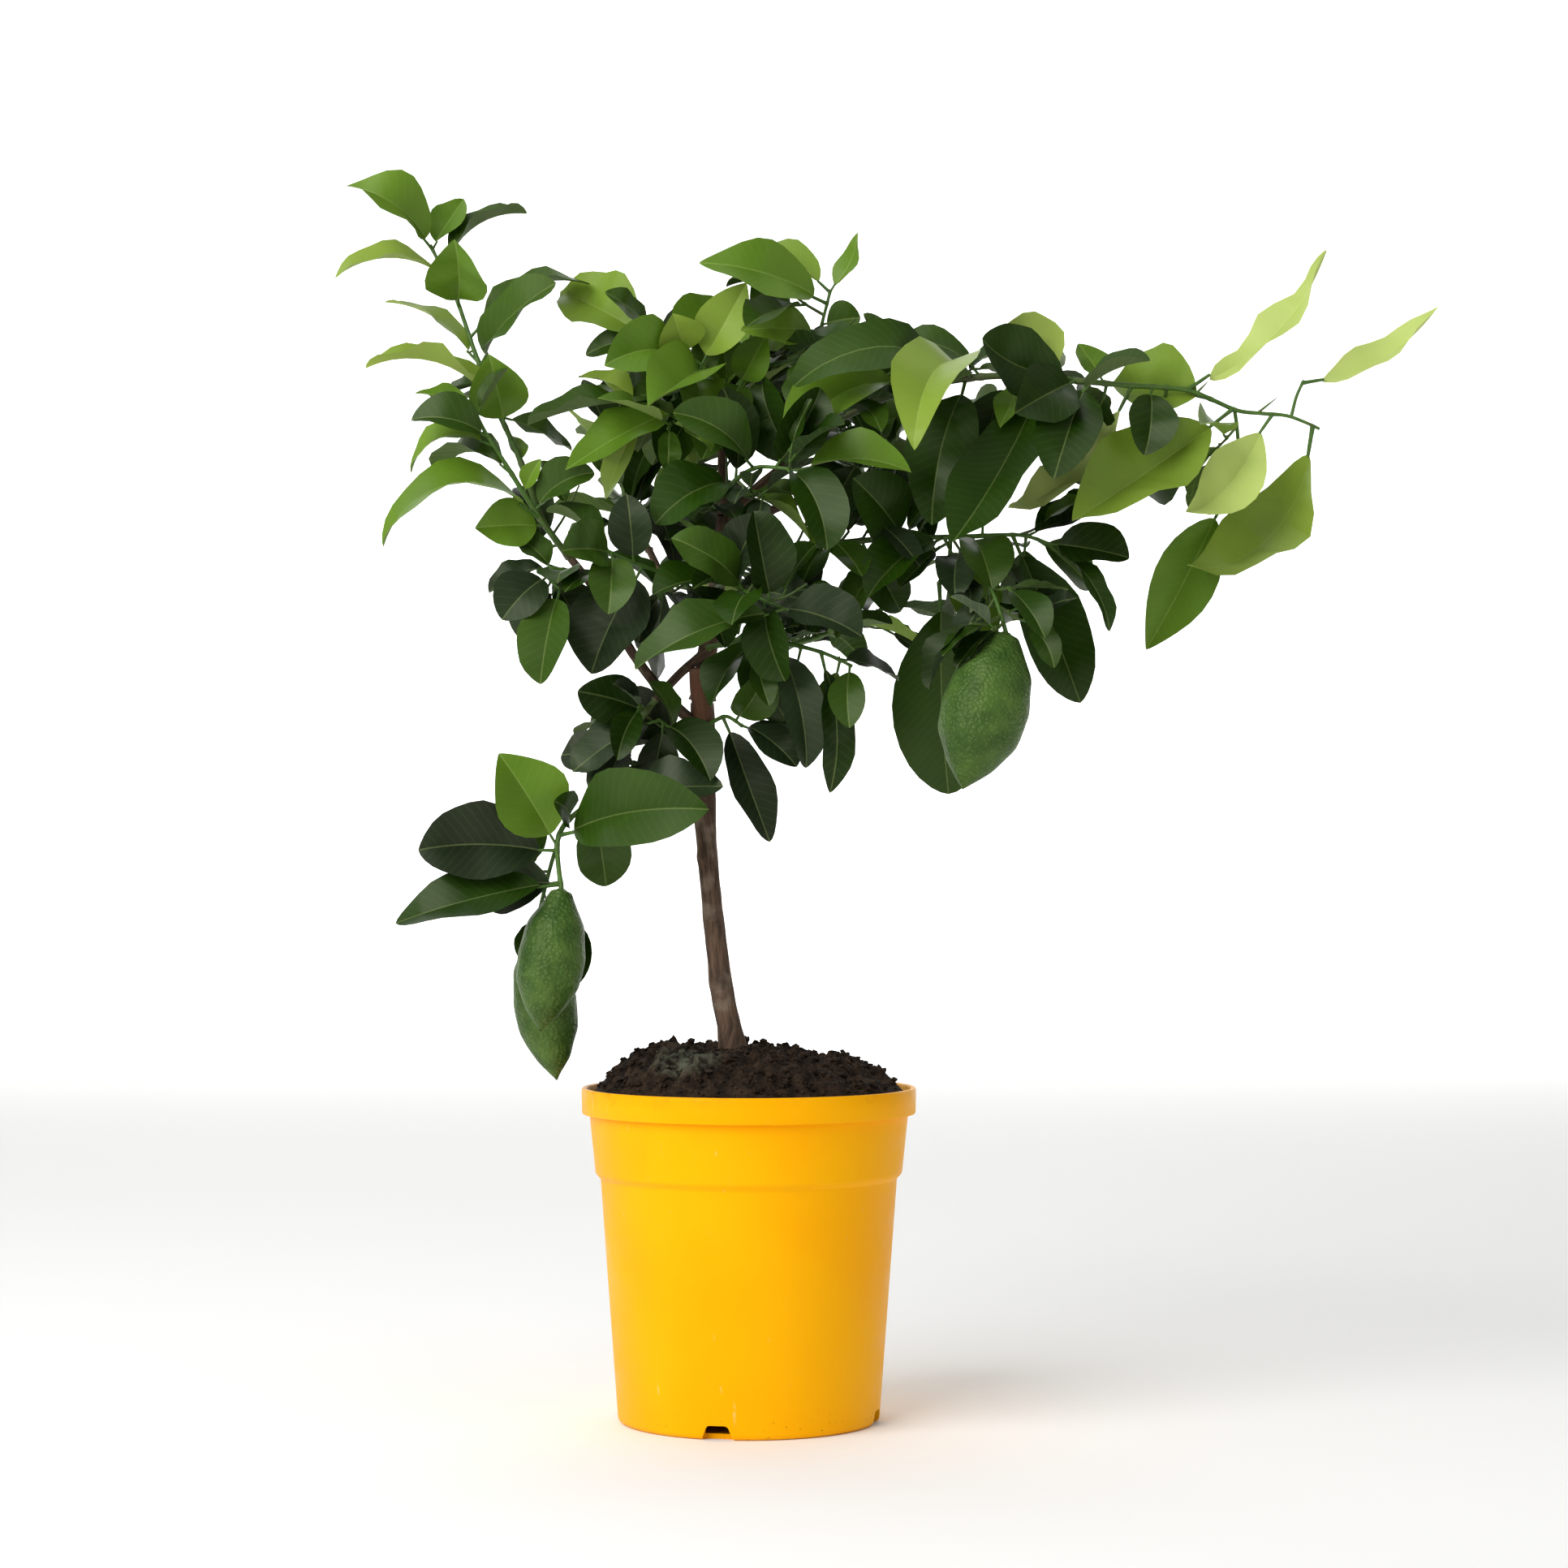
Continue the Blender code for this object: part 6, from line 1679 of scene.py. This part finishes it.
# %% Stage, lights and camera
LENS = 78.0
SENSOR = 36.0
PITCH = 1.39              # degrees that the camera looks up
FLOOR_SIZE = 40.0         # metres, as all that follows
FLOOR_CLOUD = 13.333
BACKDROP_PLACE = (0.0, 3.4, 2.2)
BACKDROP_SIZE = (7.0, 4.4)
BACKDROP_GLOW = 1.1
SKY_GLOW = 0.28
# Each soft panel: its place, the point it faces, the length of its sides and its power in watts
PANELS = {
    "key_panel": ((-1.5, -1.7, 1.7), (0.0, 0.0, 0.4), 2.2, 70.0),
    "top_panel": ((-0.3, 0.2, 2.4), (0.0, 0.0, 0.3), 2.4, 12.0),
    "fill_panel": ((1.8, -1.4, 0.9), (0.0, 0.0, 0.4), 1.6, 5.5),
}

bpy.ops.object.select_all(action="DESELECT")
bpy.ops.mesh.primitive_plane_add(size=FLOOR_SIZE)
floor = bpy.context.object
floor.name = "floor"
floor_material, floor_tree, floor_shader = new_material("pale_floor")
clouds = put(floor_tree, "TexNoise", {"Scale": FLOOR_SIZE / FLOOR_CLOUD})
pale = put(floor_tree, "Mix", {0: clouds, 6: "#F8F8F7", 7: "#FCFCFC"}, **COLOURS)
feed(floor_tree, floor_shader, {"Base Color": pale, "Roughness": 0.9})
floor.data.materials.append(floor_material)

bpy.ops.object.select_all(action="DESELECT")
upright = (math.radians(90.0), 0.0, 0.0)
bpy.ops.mesh.primitive_plane_add(size=1.0, location=BACKDROP_PLACE, rotation=upright)
backdrop = bpy.context.object
backdrop.name = "backdrop"
backdrop.scale = (*BACKDROP_SIZE, 1.0)
bpy.ops.object.transform_apply(rotation=True, scale=True)
paper, paper_tree, paper_shader = new_material("backlit_white_paper")
feed(paper_tree, paper_shader, {"Roughness": 1.0, "Emission Color": "#FFFFFF",
                                "Emission Strength": BACKDROP_GLOW})
backdrop.data.materials.append(paper)

world = bpy.data.worlds.new("pale_sky")
world.use_nodes = True
sky = world.node_tree.nodes["Background"]
sky.inputs["Color"].default_value = linear("#FBFAF6")
sky.inputs["Strength"].default_value = SKY_GLOW
bpy.context.scene.world = world
bpy.context.scene.view_settings.view_transform = "Standard"

for name, (place, target, size, power) in PANELS.items():
    light = bpy.data.lights.new(name, "AREA")
    light.size = size
    light.energy = power
    lamp = add_object(name, light)
    lamp.location = place
    lamp.rotation_euler = (Vector(target) - Vector(place)).to_track_quat("-Z", "Y").to_euler()

camera = add_object("camera", bpy.data.cameras.new("camera"))
camera.location = (EYE_X * MM, -VIEW_DISTANCE * MM, EYE_Z * MM)
camera.rotation_euler = (math.radians(90.0 + PITCH), 0.0, 0.0)
camera.data.lens = LENS
camera.data.sensor_width = SENSOR
bpy.context.scene.camera = camera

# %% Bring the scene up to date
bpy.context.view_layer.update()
